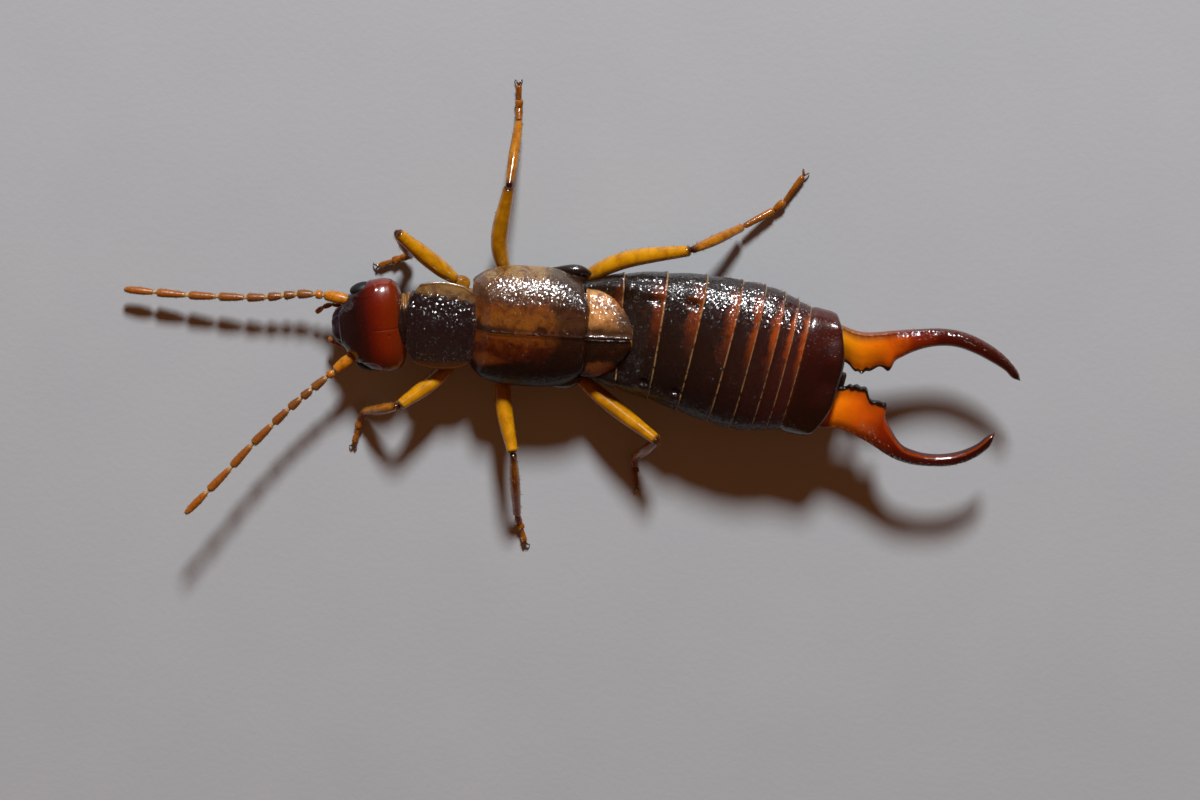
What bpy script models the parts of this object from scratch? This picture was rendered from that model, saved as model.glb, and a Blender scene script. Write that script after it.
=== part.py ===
"""A male common earwig as a still, life-size model, standing on level ground.

Every length is in millimetres while the pieces are shaped, because the animal is 17 mm long.
The last step scales each mesh to metres and sets the origin under the middle of the whole.

Axes while shaping: the head points along -Y, the insect's left is +X, up is +Z, and the ground
is z = 0. x = y = 0 lies under the middle of the pronotum.
"""

import math

import bmesh
import bpy
from mathutils import Matrix, Vector

MM = 0.001
UP = Vector((0, 0, 1))

# Gaps between neighbouring solids
GAP = 0.2
EYE_GAP = 0.1

# Head
HEAD_CENTRE = Vector((0.24, -1.75, 1.05))
HEAD_YAW = math.radians(8)
HEAD_REAR = 0.70
HEAD_HALF_WIDTH = 1.18
EYE_SIZE = Vector((0.13, 0.30, 0.24))
EYE_PLACE = Vector((1.00, 0.29, 0.08))
EYE_TURN = math.radians(-14)
LABRUM_HALF_WIDTH = 0.34
LABRUM_TIP = 1.12

# Antennae: length of each piece from the root, pale joint included
ANTENNA_PIECES = (0.72, 0.20, 0.47, 0.33, 0.40, 0.53, 0.70, 0.75, 0.80, 0.80)
ANTENNA_RADIUS = 0.25
ANTENNA_TIP_RADIUS = 0.11

# Pronotum
PRONOTUM_CENTRE_X = 0.045
PRONOTUM_FRONT = -0.87
PRONOTUM_REAR = 0.84
PRONOTUM_HALF_WIDTH = 1.12
PRONOTUM_TOP = 1.68
PRONOTUM_MARGIN_TOP = 1.45
PRONOTUM_UNDERSIDE = 1.20

# Thorax below the wings, with the sockets of the legs
THORAX_HALF_WIDTH = 0.92
THORAX_BOTTOM = 0.48
THORAX_TOP = 1.0
THORAX_REAR = 3.5
HIP_RADIUS = 0.26

# Wing cases
CASE_HALF_WIDTH = 1.53
CASE_REAR = 3.47
CASE_EDGE_HEIGHT = 1.15
CASE_TOP = 1.95
CASE_SHOULDER_REACH = 0.18
WING_THICKNESS = 0.45
WING_TIP_LENGTH = 1.03
WING_TIP_HALF_WIDTH = 1.12
WING_TIP_TOP = 1.93
WING_TIP_TAPER = 0.06

# Abdomen: lengths of the plates that show, in order, and the half width at the rear of each
WAIST = Vector((-0.05, 3.7, 0))
WAIST_HALF_WIDTH = 1.24
TERGITE_LENGTHS = (0.59, 0.95, 0.86, 0.85, 0.57, 0.51, 0.37, 0.33)
TERGITE_HALF_WIDTHS = (1.46, 1.62, 1.75, 1.84, 1.87, 1.80, 1.70, 1.60)
ABDOMEN_TURN = math.radians(10.3)
ABDOMEN_TURN_LENGTH = 3.0
TERGITE_STEP = 0.05
TAIL_DISTANCE = 5.78
LAST_TERGITE_BULGE = 0.30

# Forceps: middle of each arm as (off the midline, along it, height, half width)
FORCEPS_RIGHT = (
    (0.86, 0.40, 1.42, 0.47),
    (0.80, 0.80, 1.44, 0.50),
    (0.90, 1.25, 1.46, 0.46),
    (1.30, 1.82, 1.48, 0.30),
    (1.60, 2.62, 1.50, 0.25),
    (1.60, 3.50, 1.50, 0.25),
    (1.36, 4.22, 1.50, 0.20),
    (1.00, 4.77, 1.50, 0.08),
)
FORCEPS_LEFT = (
    (0.80, 0.40, 1.42, 0.47),
    (0.74, 0.80, 1.44, 0.52),
    (0.84, 1.35, 1.46, 0.48),
    (1.30, 2.12, 1.48, 0.30),
    (1.55, 2.85, 1.50, 0.25),
    (1.42, 3.62, 1.50, 0.25),
    (1.05, 4.26, 1.50, 0.20),
    (0.55, 4.54, 1.50, 0.08),
)
FORCEPS_THICKNESS = 0.28
# Teeth of the inner edge: place along the arm and height of each
FORCEPS_TEETH = ((0.17, 0.09), (0.23, 0.10), (0.29, 0.11), (0.36, 0.19))
PYGIDIUM_HEIGHT = 1.30
PYGIDIUM_GAP = 0.12

# Legs: where each leaves its socket (off the middle, y, height), then the points that it
# passes through: thigh, knee, ankle, middle of the foot and toe
HIPS = {"front": (1.00, 0.36, 0.62), "mid": (1.00, 1.42, 0.56), "hind": (1.14, 3.00, 0.60)}
LEG_STOPS = {
    ("front", "right"): (
        (-1.45, -0.42, 0.98), (-2.27, -1.33, 1.40), (-1.45, -1.00, 0.42), (-1.20, -1.45, 0.20),
        (-1.06, -1.74, 0.20),
    ),
    ("front", "left"): (
        (1.62, -0.25, 0.90), (2.21, -1.08, 1.30), (2.74, -2.00, 0.42), (3.28, -2.14, 0.20),
        (3.60, -2.22, 0.20),
    ),
    ("mid", "right"): (
        (-2.15, 1.20, 0.92), (-3.60, 1.35, 1.42), (-5.01, 1.49, 0.40), (-5.48, 1.46, 0.20),
        (-5.78, 1.44, 0.20),
    ),
    ("mid", "left"): (
        (2.15, 1.50, 0.92), (3.22, 1.84, 1.50), (5.26, 2.03, 0.40), (5.66, 2.15, 0.20),
        (5.95, 2.24, 0.20),
    ),
    ("hind", "right"): (
        (-1.98, 4.25, 1.00), (-2.30, 5.92, 1.38), (-2.71, 7.22, 0.42), (-3.30, 8.15, 0.20),
        (-3.92, 8.54, 0.20),
    ),
    ("hind", "left"): (
        (2.00, 4.15, 0.92), (2.66, 5.42, 1.45), (3.51, 4.90, 0.42), (3.92, 4.96, 0.20),
        (4.23, 5.00, 0.20),
    ),
}
FEMUR_RADIUS = 0.26
TIBIA_RADIUS = 0.25
TARSUS_RADIUS = 0.25
CLAW_RADIUS = 0.12
CLAW_LENGTH = 0.30
CLAW_SPREAD = 0.20


def side_sign(side):
    """+1 on the insect's left, which is +X, and -1 on its right."""
    return 1 if side == "left" else -1


def clear_scene():
    for obj in list(bpy.data.objects):
        bpy.data.objects.remove(obj, do_unlink=True)


def material(name, colour, roughness):
    """A plain finish in the colour the piece has in life."""
    mat = bpy.data.materials.new(name)
    mat.use_nodes = True
    shader = mat.node_tree.nodes["Principled BSDF"]
    shader.inputs["Base Color"].default_value = (*colour, 1)
    shader.inputs["Roughness"].default_value = roughness
    shader.inputs["Metallic"].default_value = 0
    mat.diffuse_color = (*colour, 1)
    return mat


def add_object(name, bm, collection):
    """Turns a bmesh into an object with smooth faces that point out."""
    bmesh.ops.recalc_face_normals(bm, faces=bm.faces)
    mesh = bpy.data.meshes.new(name)
    bm.to_mesh(mesh)
    bm.free()
    mesh.shade_smooth()
    obj = bpy.data.objects.new(name, mesh)
    collection.objects.link(obj)
    return obj


def superellipse(angle, power):
    """Point at this angle on a rounded square of half side 1; power 2 is a circle."""
    c = math.cos(angle)
    s = math.sin(angle)
    return (
        math.copysign(abs(c) ** (2 / power), c),
        math.copysign(abs(s) ** (2 / power), s),
    )


def section(centre, side, up, half_width, rise, drop, sides, power=2.0):
    """A closed ring: half_width to each side, rise above the centre and drop below it."""
    points = []
    for k in range(sides):
        across, height = superellipse(2 * math.pi * (k + 0.5) / sides, power)
        reach = rise if height > 0 else drop
        points.append(centre + side * (across * half_width) + up * (height * reach))
    return points


def loft(name, rings, collection):
    """One closed body through rings of points, each end closed by a fan of triangles."""
    bm = bmesh.new()
    loops = [[bm.verts.new(point) for point in ring] for ring in rings]
    count = len(loops[0])
    for first, second in zip(loops, loops[1:]):
        for k in range(count):
            after = (k + 1) % count
            bm.faces.new((first[k], first[after], second[after], second[k]))
    for loop in (loops[0], loops[-1]):
        middle = sum((vert.co for vert in loop), Vector()) / count
        pole = bm.verts.new(middle)
        for k in range(count):
            bm.faces.new((loop[k], loop[(k + 1) % count], pole))
    return add_object(name, bm, collection)


def plate(name, outer, inner, columns, rows, collection):
    """A closed plate between two surfaces, each a function of (0..1 across, 0..1 along).

    Every face is two triangles, split the same way above and below, so that they never cross.
    """
    bm = bmesh.new()
    top, bottom = [
        [
            [bm.verts.new(surface(i / columns, j / rows)) for i in range(columns + 1)]
            for j in range(rows + 1)
        ]
        for surface in (outer, inner)
    ]

    def add_face(a, b, c, d):
        bm.faces.new((a, b, c))
        bm.faces.new((a, c, d))

    for j in range(rows):
        for i in range(columns):
            for grid in (top, bottom):
                add_face(grid[j][i], grid[j][i + 1], grid[j + 1][i + 1], grid[j + 1][i])
    for j in range(rows):
        for i in (0, columns):
            add_face(top[j][i], top[j + 1][i], bottom[j + 1][i], bottom[j][i])
    for i in range(columns):
        for j in (0, rows):
            add_face(top[j][i], top[j][i + 1], bottom[j][i + 1], bottom[j][i])
    return add_object(name, bm, collection)


def ellipsoid(name, centre, size, rotation, collection, segments=14, rings=8):
    bm = bmesh.new()
    bmesh.ops.create_uvsphere(bm, u_segments=segments, v_segments=rings, radius=1)
    shape = Matrix.Translation(centre) @ rotation @ Matrix.Diagonal((*size, 1))
    bmesh.ops.transform(bm, matrix=shape, verts=bm.verts)
    return add_object(name, bm, collection)


def curve_point(stops, t):
    """Smooth curve through the stops; t runs from 0 at the first to 1 at the last."""
    spans = len(stops) - 1
    index = min(int(t * spans), spans - 1)
    u = t * spans - index
    values = []
    for k in range(-1, 3):
        values.append(stops[min(max(index + k, 0), spans)])
    point = []
    for a, b, c, d in zip(*values):
        point.append(
            0.5 * (2 * b + (c - a) * u + (2 * a - 5 * b + 4 * c - d) * u ** 2
                   + (3 * b - a - 3 * c + d) * u ** 3)
        )
    return point


def tube(name, stations, sides, collection):
    """A round limb through (point, radius) stations, with a rounded far end."""
    points = [Vector(point) for point, _ in stations]
    radii = [radius for _, radius in stations]
    points.append(points[-1] + (points[-1] - points[-2]).normalized() * 0.6 * radii[-1])
    radii.append(0.6 * radii[-1])
    rings = []
    for k, centre in enumerate(points):
        before = points[max(k - 1, 0)]
        after = points[min(k + 1, len(points) - 1)]
        along = (after - before).normalized()
        side = along.cross(UP).normalized()
        up = side.cross(along).normalized()
        rings.append(section(centre, side, up, radii[k], radii[k], radii[k], sides))
    return loft(name, rings, collection)


def apply_modifiers(obj):
    graph = bpy.context.evaluated_depsgraph_get()
    mesh = bpy.data.meshes.new_from_object(obj.evaluated_get(graph))
    obj.modifiers.clear()
    obj.data = mesh


def combine(obj, others, operation):
    """Applies one Boolean between a body and a collection of closed helpers."""
    helpers = bpy.data.collections.new(obj.name + "_helpers")
    bpy.context.scene.collection.children.link(helpers)
    for other in others:
        for owner in list(other.users_collection):
            owner.objects.unlink(other)
        helpers.objects.link(other)
        other.hide_render = True
        other.display_type = "WIRE"
    modifier = obj.modifiers.new(operation.lower(), "BOOLEAN")
    modifier.operation = operation
    modifier.operand_type = "COLLECTION"
    modifier.collection = helpers
    modifier.solver = "MANIFOLD" if operation == "UNION" else "EXACT"
    bpy.context.view_layer.update()
    apply_modifiers(obj)
    for other in list(helpers.objects):
        bpy.data.objects.remove(other, do_unlink=True)
    bpy.data.collections.remove(helpers)
    keep_largest(obj)


def keep_largest(obj):
    """Keeps the closed surface with the most faces' area and drops loose scraps."""
    bm = bmesh.new()
    bm.from_mesh(obj.data)
    unseen = set(bm.verts)
    groups = []
    while unseen:
        stack = [unseen.pop()]
        group = set(stack)
        while stack:
            vert = stack.pop()
            for edge in vert.link_edges:
                other = edge.other_vert(vert)
                if other in unseen:
                    unseen.remove(other)
                    group.add(other)
                    stack.append(other)
        groups.append(group)

    def area(group):
        return sum(face.calc_area() for face in {f for v in group for f in v.link_faces})

    groups.sort(key=area)
    for group in groups[:-1]:
        bmesh.ops.delete(bm, geom=list(group), context="VERTS")
    bm.to_mesh(obj.data)
    bm.free()
    obj.data.shade_smooth()


def head_axes():
    """The head's left, forward and up directions."""
    forward = Vector((math.sin(HEAD_YAW), -math.cos(HEAD_YAW), 0))
    left = Vector((math.cos(HEAD_YAW), math.sin(HEAD_YAW), 0))
    return left, forward, UP


def head_place(left_of, forward_of, above):
    left, forward, up = head_axes()
    return HEAD_CENTRE + left * left_of + forward * forward_of + up * above


def make_head(collection):
    """The capsule, broadest behind the eyes, with its rounded rear corners."""
    left, forward, up = head_axes()
    # forward of the centre, share of the half width, height above and below the centre
    stations = (
        (-HEAD_REAR, 0.52, 0.22, 0.28),
        (-0.67, 0.76, 0.33, 0.36),
        (-0.55, 0.92, 0.44, 0.42),
        (-0.34, 1.00, 0.53, 0.46),
        (-0.08, 1.00, 0.57, 0.46),
        (0.18, 0.94, 0.55, 0.44),
        (0.42, 0.84, 0.48, 0.40),
        (0.62, 0.68, 0.38, 0.34),
        (0.76, 0.50, 0.28, 0.27),
        (0.82, 0.38, 0.20, 0.22),
    )
    rings = []
    for reach, width, rise, drop in stations:
        rings.append(section(
            HEAD_CENTRE + forward * reach, left, up, width * HEAD_HALF_WIDTH, rise, drop, 24, 2.3
        ))
    head = loft("head", rings, collection)
    sockets = [make_eye("socket_" + side, side, collection, EYE_GAP) for side in ("left", "right")]
    combine(head, sockets, "DIFFERENCE")
    return head


def make_eye(name, side, collection, margin=0.0):
    sign = side_sign(side)
    place = head_place(sign * EYE_PLACE.x, EYE_PLACE.y, EYE_PLACE.z)
    turn = Matrix.Rotation(HEAD_YAW + sign * EYE_TURN, 4, "Z")
    size = EYE_SIZE + Vector((margin, margin, margin))
    return ellipsoid(name, place, size, turn, collection)


def make_mouthparts(collection):
    """Upper lip and jaws in front of the head, with a pair of palps below."""
    left, forward, up = head_axes()
    root = 0.82 + GAP
    stations = (
        (root, 1.0, 0.16, 0.20),
        (root + 0.06, 1.0, 0.16, 0.20),
        (LABRUM_TIP + 0.02, 0.85, 0.13, 0.16),
        (LABRUM_TIP + 0.10, 0.55, 0.08, 0.10),
    )
    rings = []
    for reach, width, rise, drop in stations:
        rings.append(section(
            HEAD_CENTRE + forward * reach, left, up, width * LABRUM_HALF_WIDTH, rise, drop, 16, 2.6
        ))
    mouthparts = loft("mouthparts", rings, collection)
    palps = []
    for sign in (-1, 1):
        stops = ((sign * 0.12, root + 0.12, -0.12), (sign * 0.25, root + 0.24, -0.38),
                 (sign * 0.30, root + 0.10, -0.58), (sign * 0.34, root - 0.18, -0.68))
        path = [head_place(*stop) for stop in stops]
        palps.append(tube("palp", list(zip(path, (0.15, 0.18, 0.16, 0.10))), 8, collection))
    combine(mouthparts, palps, "UNION")
    return mouthparts


def antenna_stops(side):
    if side == "right":
        return (
            (-0.47, -2.76, 1.00), (-0.39, -3.45, 0.80), (-0.19, -4.69, 0.68),
            (-0.11, -5.98, 0.58), (-0.09, -6.90, 0.50), (-0.11, -8.18, 0.40),
        )
    return (
        (1.22, -2.44, 1.02), (1.66, -2.92, 1.04), (2.50, -3.80, 1.12),
        (3.50, -4.72, 1.25), (4.20, -5.30, 1.36), (5.36, -6.33, 1.55),
    )


def make_antenna(side, collection):
    """Ten pieces in a row, each a little wider towards its far end."""
    stops = antenna_stops(side)
    total = sum(ANTENNA_PIECES)
    stations = []
    reach = 0
    for number, length in enumerate(ANTENNA_PIECES):
        taper = 1 - 0.06 * number / len(ANTENNA_PIECES)
        for share, swell in ((0.0, 0.90), (0.30, 0.96), (0.75, 1.08)):
            at = curve_point(stops, (reach + share * length) / total)
            stations.append((at, ANTENNA_RADIUS * swell * taper))
        reach += length
    stations.append((curve_point(stops, 1.0), ANTENNA_TIP_RADIUS))
    return tube("antenna_" + side, stations, 8, collection)


def pronotum_rear(off):
    """Hind edge of the pronotum at this distance from its middle."""
    share = min(abs(off) / PRONOTUM_HALF_WIDTH, 1)
    return PRONOTUM_REAR - 0.30 * share ** 2.5


def make_pronotum(collection):
    """The neck shield: a domed disc with flat, slightly raised side margins."""

    def place(u, v):
        across = 2 * u - 1
        width = PRONOTUM_HALF_WIDTH * (0.84 + 0.16 * math.sin(math.pi * min(v * 0.85 + 0.07, 1)))
        off = across * width
        front = PRONOTUM_FRONT + 0.12 * abs(across) ** 4
        return off, front + (pronotum_rear(off) - front) * v

    def outer(u, v):
        off, y = place(u, v)
        rise = (PRONOTUM_TOP - PRONOTUM_MARGIN_TOP) * (1 - abs(2 * u - 1) ** 2.6)
        edge = 1 - 0.35 * abs(2 * v - 1) ** 3
        return Vector((PRONOTUM_CENTRE_X + off, y, PRONOTUM_MARGIN_TOP + rise * edge))

    def inner(u, v):
        off, y = place(u, v)
        return Vector((PRONOTUM_CENTRE_X + off, y, PRONOTUM_UNDERSIDE))

    return plate("pronotum", outer, inner, 14, 8, collection)


def hip_end(pair, side):
    """Where a leg leaves its socket on the thorax."""
    off, y, z = HIPS[pair]
    return Vector((PRONOTUM_CENTRE_X + side_sign(side) * off, y, z))


def make_thorax(collection):
    """Neck and three thorax rings below the wings, with six leg sockets."""
    side = Vector((1, 0, 0))
    middle = (THORAX_BOTTOM + THORAX_TOP) / 2
    half = (THORAX_TOP - THORAX_BOTTOM) / 2
    # distance from front to rear, share of the half width, share of the half height
    stations = (
        (-0.86, 0.42, 0.70),
        (-0.62, 0.46, 0.72),
        (-0.50, 0.70, 0.85),
        (-0.10, 0.86, 1.00),
        (0.80, 0.86, 1.00),
        (1.10, 1.00, 1.00),
        (2.40, 1.00, 1.00),
        (3.20, 1.00, 1.00),
        (THORAX_REAR, 0.94, 0.95),
    )
    rings = []
    for y, width, height in stations:
        centre = Vector((PRONOTUM_CENTRE_X, y, middle))
        rings.append(section(
            centre, side, UP, width * THORAX_HALF_WIDTH, height * half, height * half, 20, 2.6
        ))
    thorax = loft("thorax", rings, collection)
    sockets = []
    for pair in ("front", "mid", "hind"):
        for which in ("left", "right"):
            end = hip_end(pair, which)
            outward = (Vector(LEG_STOPS[pair, which][0]) - end).normalized()
            path = ((end - outward * 0.55, HIP_RADIUS), (end - outward * 0.6 * HIP_RADIUS, HIP_RADIUS))
            sockets.append(tube("hip_" + pair + which, path, 10, collection))
    combine(thorax, sockets, "UNION")
    return thorax


def case_section(share, half_width, top):
    """Point on the wing case's cross section: 0 at the seam, 1 at the outer edge."""
    across, height = superellipse(math.pi / 2 * (1 - share), 2.6)
    return across * half_width, CASE_EDGE_HEIGHT + height * (top - CASE_EDGE_HEIGHT)


def case_half_width(v):
    """Half width of both wing cases together, from the shoulders (0) to the rear (1)."""
    shoulder = 0.78 + 0.22 * math.sin(math.pi / 2 * min(v / 0.42, 1))
    rear = 1 - 0.20 * max((v - 0.55) / 0.45, 0) ** 3
    return CASE_HALF_WIDTH * shoulder * rear


def make_wing_case(side, collection):
    """One leathery fore wing, arched over the back and turned down at its outer edge."""
    sign = side_sign(side)

    def shaped(u, v, inset):
        share = u if side == "left" else 1 - u
        half_width = case_half_width(v) - inset
        top = CASE_TOP - 0.12 * (1 - min(v * 3, 1)) ** 2 - inset
        across, z = case_section(share, half_width, top)
        seam = GAP / 2
        x = sign * (seam + across * (half_width - seam) / half_width)
        shoulder = min(across / case_half_width(0), 1) ** 20
        front = pronotum_rear(x - PRONOTUM_CENTRE_X) + GAP - CASE_SHOULDER_REACH * shoulder
        y = front + (CASE_REAR - front) * v
        return Vector((x, y, z))

    return plate(
        "wing_case_" + side,
        lambda u, v: shaped(u, v, 0.0),
        lambda u, v: shaped(u, v, WING_THICKNESS),
        10, 9, collection,
    )


def wing_tip_point(side, u, v, drop, margin=0.0):
    """Point on a hind wing's folded tip; margin widens it all round, or narrows it below 0."""
    width = WING_TIP_HALF_WIDTH * (1 - 0.55 * v ** 3) + margin
    seam = GAP / 2 - margin
    front = CASE_REAR + GAP - margin
    rear = CASE_REAR + GAP + WING_TIP_LENGTH + margin
    x = side_sign(side) * (seam + u * (width - seam))
    y = front + (rear - front) * v - 0.22 * u ** 2 * v
    z = WING_TIP_TOP - 0.14 * v - 0.30 * u ** 2.4 - drop
    return Vector((x, y, z))


def make_wing_tip(side, collection):
    return plate(
        "wing_tip_" + side,
        lambda u, v: wing_tip_point(side, u, v, 0.0),
        lambda u, v: wing_tip_point(side, u, v, WING_THICKNESS, -WING_TIP_TAPER),
        7, 6, collection,
    )


def make_wing_recess(side, collection):
    """Room for a folded wing tip in the front of the abdomen."""
    return plate(
        "recess_" + side,
        lambda u, v: wing_tip_point(side, u, v, -1.0, GAP),
        lambda u, v: wing_tip_point(side, u, v, WING_THICKNESS + 2 * GAP, GAP),
        7, 6, collection,
    )


def abdomen_frame(distance):
    """Middle, left and rearward directions this far behind the waist, along the bent body."""
    point = WAIST.copy()
    step = 0.05
    travelled = 0.0
    while True:
        share = min(travelled / ABDOMEN_TURN_LENGTH, 1)
        turn = ABDOMEN_TURN * share * share * (3 - 2 * share)
        rearward = Vector((math.sin(turn), math.cos(turn), 0))
        if travelled + step > distance:
            break
        point += rearward * step
        travelled += step
    point += rearward * (distance - travelled)
    left = Vector((math.cos(turn), -math.sin(turn), 0))
    return point, left, rearward


def abdomen_heights(distance):
    """Height of the body's widest line, and how far it reaches above and below that."""
    share = distance / sum(TERGITE_LENGTHS)
    middle = 1.12 + 0.24 * min(share * 1.2, 1)
    rise = 0.64 + 0.22 * math.sin(math.pi * min(share * 0.75 + 0.05, 1))
    drop = 0.60 + 0.12 * math.sin(math.pi * share)
    return middle, rise, drop


def abdomen_section(distance, half_width, swell=0.0, bulge=0.0):
    point, left, rearward = abdomen_frame(distance)
    middle, rise, drop = abdomen_heights(min(distance, sum(TERGITE_LENGTHS)))
    centre = Vector((point.x, point.y, middle))
    ring = section(centre, left, UP, half_width + swell, rise + swell, drop + swell, 28, 2.3)
    shifted = []
    for corner in ring:
        off = (corner - centre).dot(left) / half_width
        shifted.append(corner + rearward * (bulge * (1 - min(abs(off), 1) ** 2.2)))
    return shifted


def make_abdomen(collection):
    """Eight overlapping ring plates, each standing a little proud of the next."""
    rings = []
    start = 0.0
    width = WAIST_HALF_WIDTH
    for length, rear_width in zip(TERGITE_LENGTHS, TERGITE_HALF_WIDTHS):
        end = start + length
        rings.append(abdomen_section(start, width))
        rings.append(abdomen_section(end - 0.12, rear_width, TERGITE_STEP))
        rings.append(abdomen_section(end - 0.03, rear_width, TERGITE_STEP))
        start = end
        width = rear_width
    abdomen = loft("abdomen", rings, collection)
    for side in ("left", "right"):
        combine(abdomen, [make_wing_recess(side, collection)], "DIFFERENCE")
    return abdomen


def make_last_tergite(collection):
    """The broad, squared plate that carries the forceps."""
    start = sum(TERGITE_LENGTHS) - 0.03 + GAP
    length = TAIL_DISTANCE - start
    # share of the length, half width, how far the middle stands behind the corners
    stations = (
        (0.0, 1.56, 0.0),
        (0.12, 1.60, 0.0),
        (0.55, 1.60, 0.08),
        (0.88, 1.57, 0.22),
        (0.97, 1.50, LAST_TERGITE_BULGE),
        (1.0, 1.42, LAST_TERGITE_BULGE),
    )
    rings = []
    for share, half_width, bulge in stations:
        rings.append(abdomen_section(start + share * length, half_width, 0.0, bulge))
    return loft("last_tergite", rings, collection)


def tail_place(side, off, along, height):
    """Place off the midline and behind the corners of the last plate."""
    point, left, rearward = abdomen_frame(TAIL_DISTANCE)
    sign = side_sign(side)
    return Vector((point.x, point.y, height)) + left * (sign * off) + rearward * along


def make_forceps_arm(side, stops, collection):
    """A curved, flattened pincer, broad at its base, with teeth along the inner edge."""
    _, left, rearward = abdomen_frame(TAIL_DISTANCE)
    sign = side_sign(side)
    steps = 16
    rings = []
    for k in range(steps + 1):
        off, along, height, half = curve_point(stops, k / steps)
        before = Vector(curve_point(stops, max(k - 0.5, 0) / steps)[:2])
        after = Vector(curve_point(stops, min(k + 0.5, steps) / steps)[:2])
        run = (after - before).normalized()
        outward = left * (sign * run.y) - rearward * run.x
        thick = min(FORCEPS_THICKNESS, half * 1.15)
        rings.append(section(
            tail_place(side, off, along, height), outward, UP, half, thick, thick, 12
        ))
    arm = loft("forceps_" + side, rings, collection)
    teeth = []
    for t, size in FORCEPS_TEETH:
        off, along, height, half = curve_point(stops, t)
        root = tail_place(side, off - half * 0.55, along, height)
        tip = tail_place(side, off - half - size, along + size * 0.3, height)
        teeth.append(tube(
            "tooth", ((root, 0.17), ((root + tip) / 2, 0.13), (tip, 0.05)), 6, collection
        ))
    combine(arm, teeth, "UNION")
    return arm


def make_pygidium(collection):
    """The small plate between the roots of the forceps."""
    point, left, rearward = abdomen_frame(TAIL_DISTANCE)
    rings = []
    root = LAST_TERGITE_BULGE + PYGIDIUM_GAP
    for along, half in ((root, 0.13), (root + 0.12, 0.13), (root + 0.18, 0.08)):
        centre = Vector((point.x, point.y, PYGIDIUM_HEIGHT)) + rearward * along
        rings.append(section(centre, left, UP, half, 0.15, 0.15, 10, 3))
    return loft("pygidium", rings, collection)


def make_leg(pair, side, collection):
    """Thigh, shin and foot with two claws, joined into one bent limb on a flat sole."""
    thigh, knee, ankle, sole, toe = [Vector(stop) for stop in LEG_STOPS[pair, side]]
    hip = hip_end(pair, side)
    hip += (thigh - hip).normalized() * GAP
    bend = (tuple(hip), tuple(thigh), tuple(knee))
    swell = ((0, 0.22), (0.2, 0.25), (0.5, FEMUR_RADIUS), (0.8, FEMUR_RADIUS), (1, 0.25))
    leg = tube(
        "leg_" + pair + "_" + side,
        [(curve_point(bend, t), radius) for t, radius in swell], 10, collection,
    )
    shin_middle = knee.lerp(ankle, 0.5) + UP * 0.05
    shin = ((knee, 0.24), (shin_middle, TIBIA_RADIUS), (ankle, 0.25))
    heel = Vector((ankle.x, ankle.y, sole.z)).lerp(sole, 0.2)
    foot = ((ankle.lerp(heel, 0.5), 0.22), (heel, TARSUS_RADIUS), (sole, TARSUS_RADIUS), (toe, 0.22))
    pieces = [tube("shin", shin, 10, collection), tube("foot", foot, 10, collection)]
    forward = (toe - sole).normalized()
    across = forward.cross(UP)
    for sign in (-1, 1):
        tip = toe + forward * CLAW_LENGTH + across * (sign * CLAW_SPREAD) - UP * 0.06
        claw = ((toe, CLAW_RADIUS), (toe.lerp(tip, 0.6), 0.10), (tip, 0.05))
        pieces.append(tube("claw", claw, 6, collection))
    combine(leg, pieces, "UNION")
    trim_below_ground(leg)
    return leg


def trim_below_ground(obj):
    """Cuts the foot off level at the ground, which leaves a small flat sole."""
    bm = bmesh.new()
    bm.from_mesh(obj.data)
    geometry = list(bm.verts) + list(bm.edges) + list(bm.faces)
    cut = bmesh.ops.bisect_plane(
        bm, geom=geometry, dist=1e-5, plane_co=(0, 0, 0), plane_no=(0, 0, 1), clear_inner=True
    )
    edges = [item for item in cut["geom_cut"] if isinstance(item, bmesh.types.BMEdge)]
    bmesh.ops.holes_fill(bm, edges=edges, sides=0)
    bmesh.ops.recalc_face_normals(bm, faces=bm.faces)
    bm.to_mesh(obj.data)
    bm.free()
    obj.data.shade_smooth()


def finish(collection):
    """Scales every piece to metres and puts the origin under the middle of the whole."""
    corners = [vertex.co for obj in collection.objects for vertex in obj.data.vertices]
    middle_x = (min(c.x for c in corners) + max(c.x for c in corners)) / 2
    middle_y = (min(c.y for c in corners) + max(c.y for c in corners)) / 2
    to_origin = Matrix.Translation(Vector((-middle_x, -middle_y, 0)))
    for obj in collection.objects:
        obj.data.transform(Matrix.Scale(MM, 4) @ to_origin)
        obj.data.update()


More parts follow.
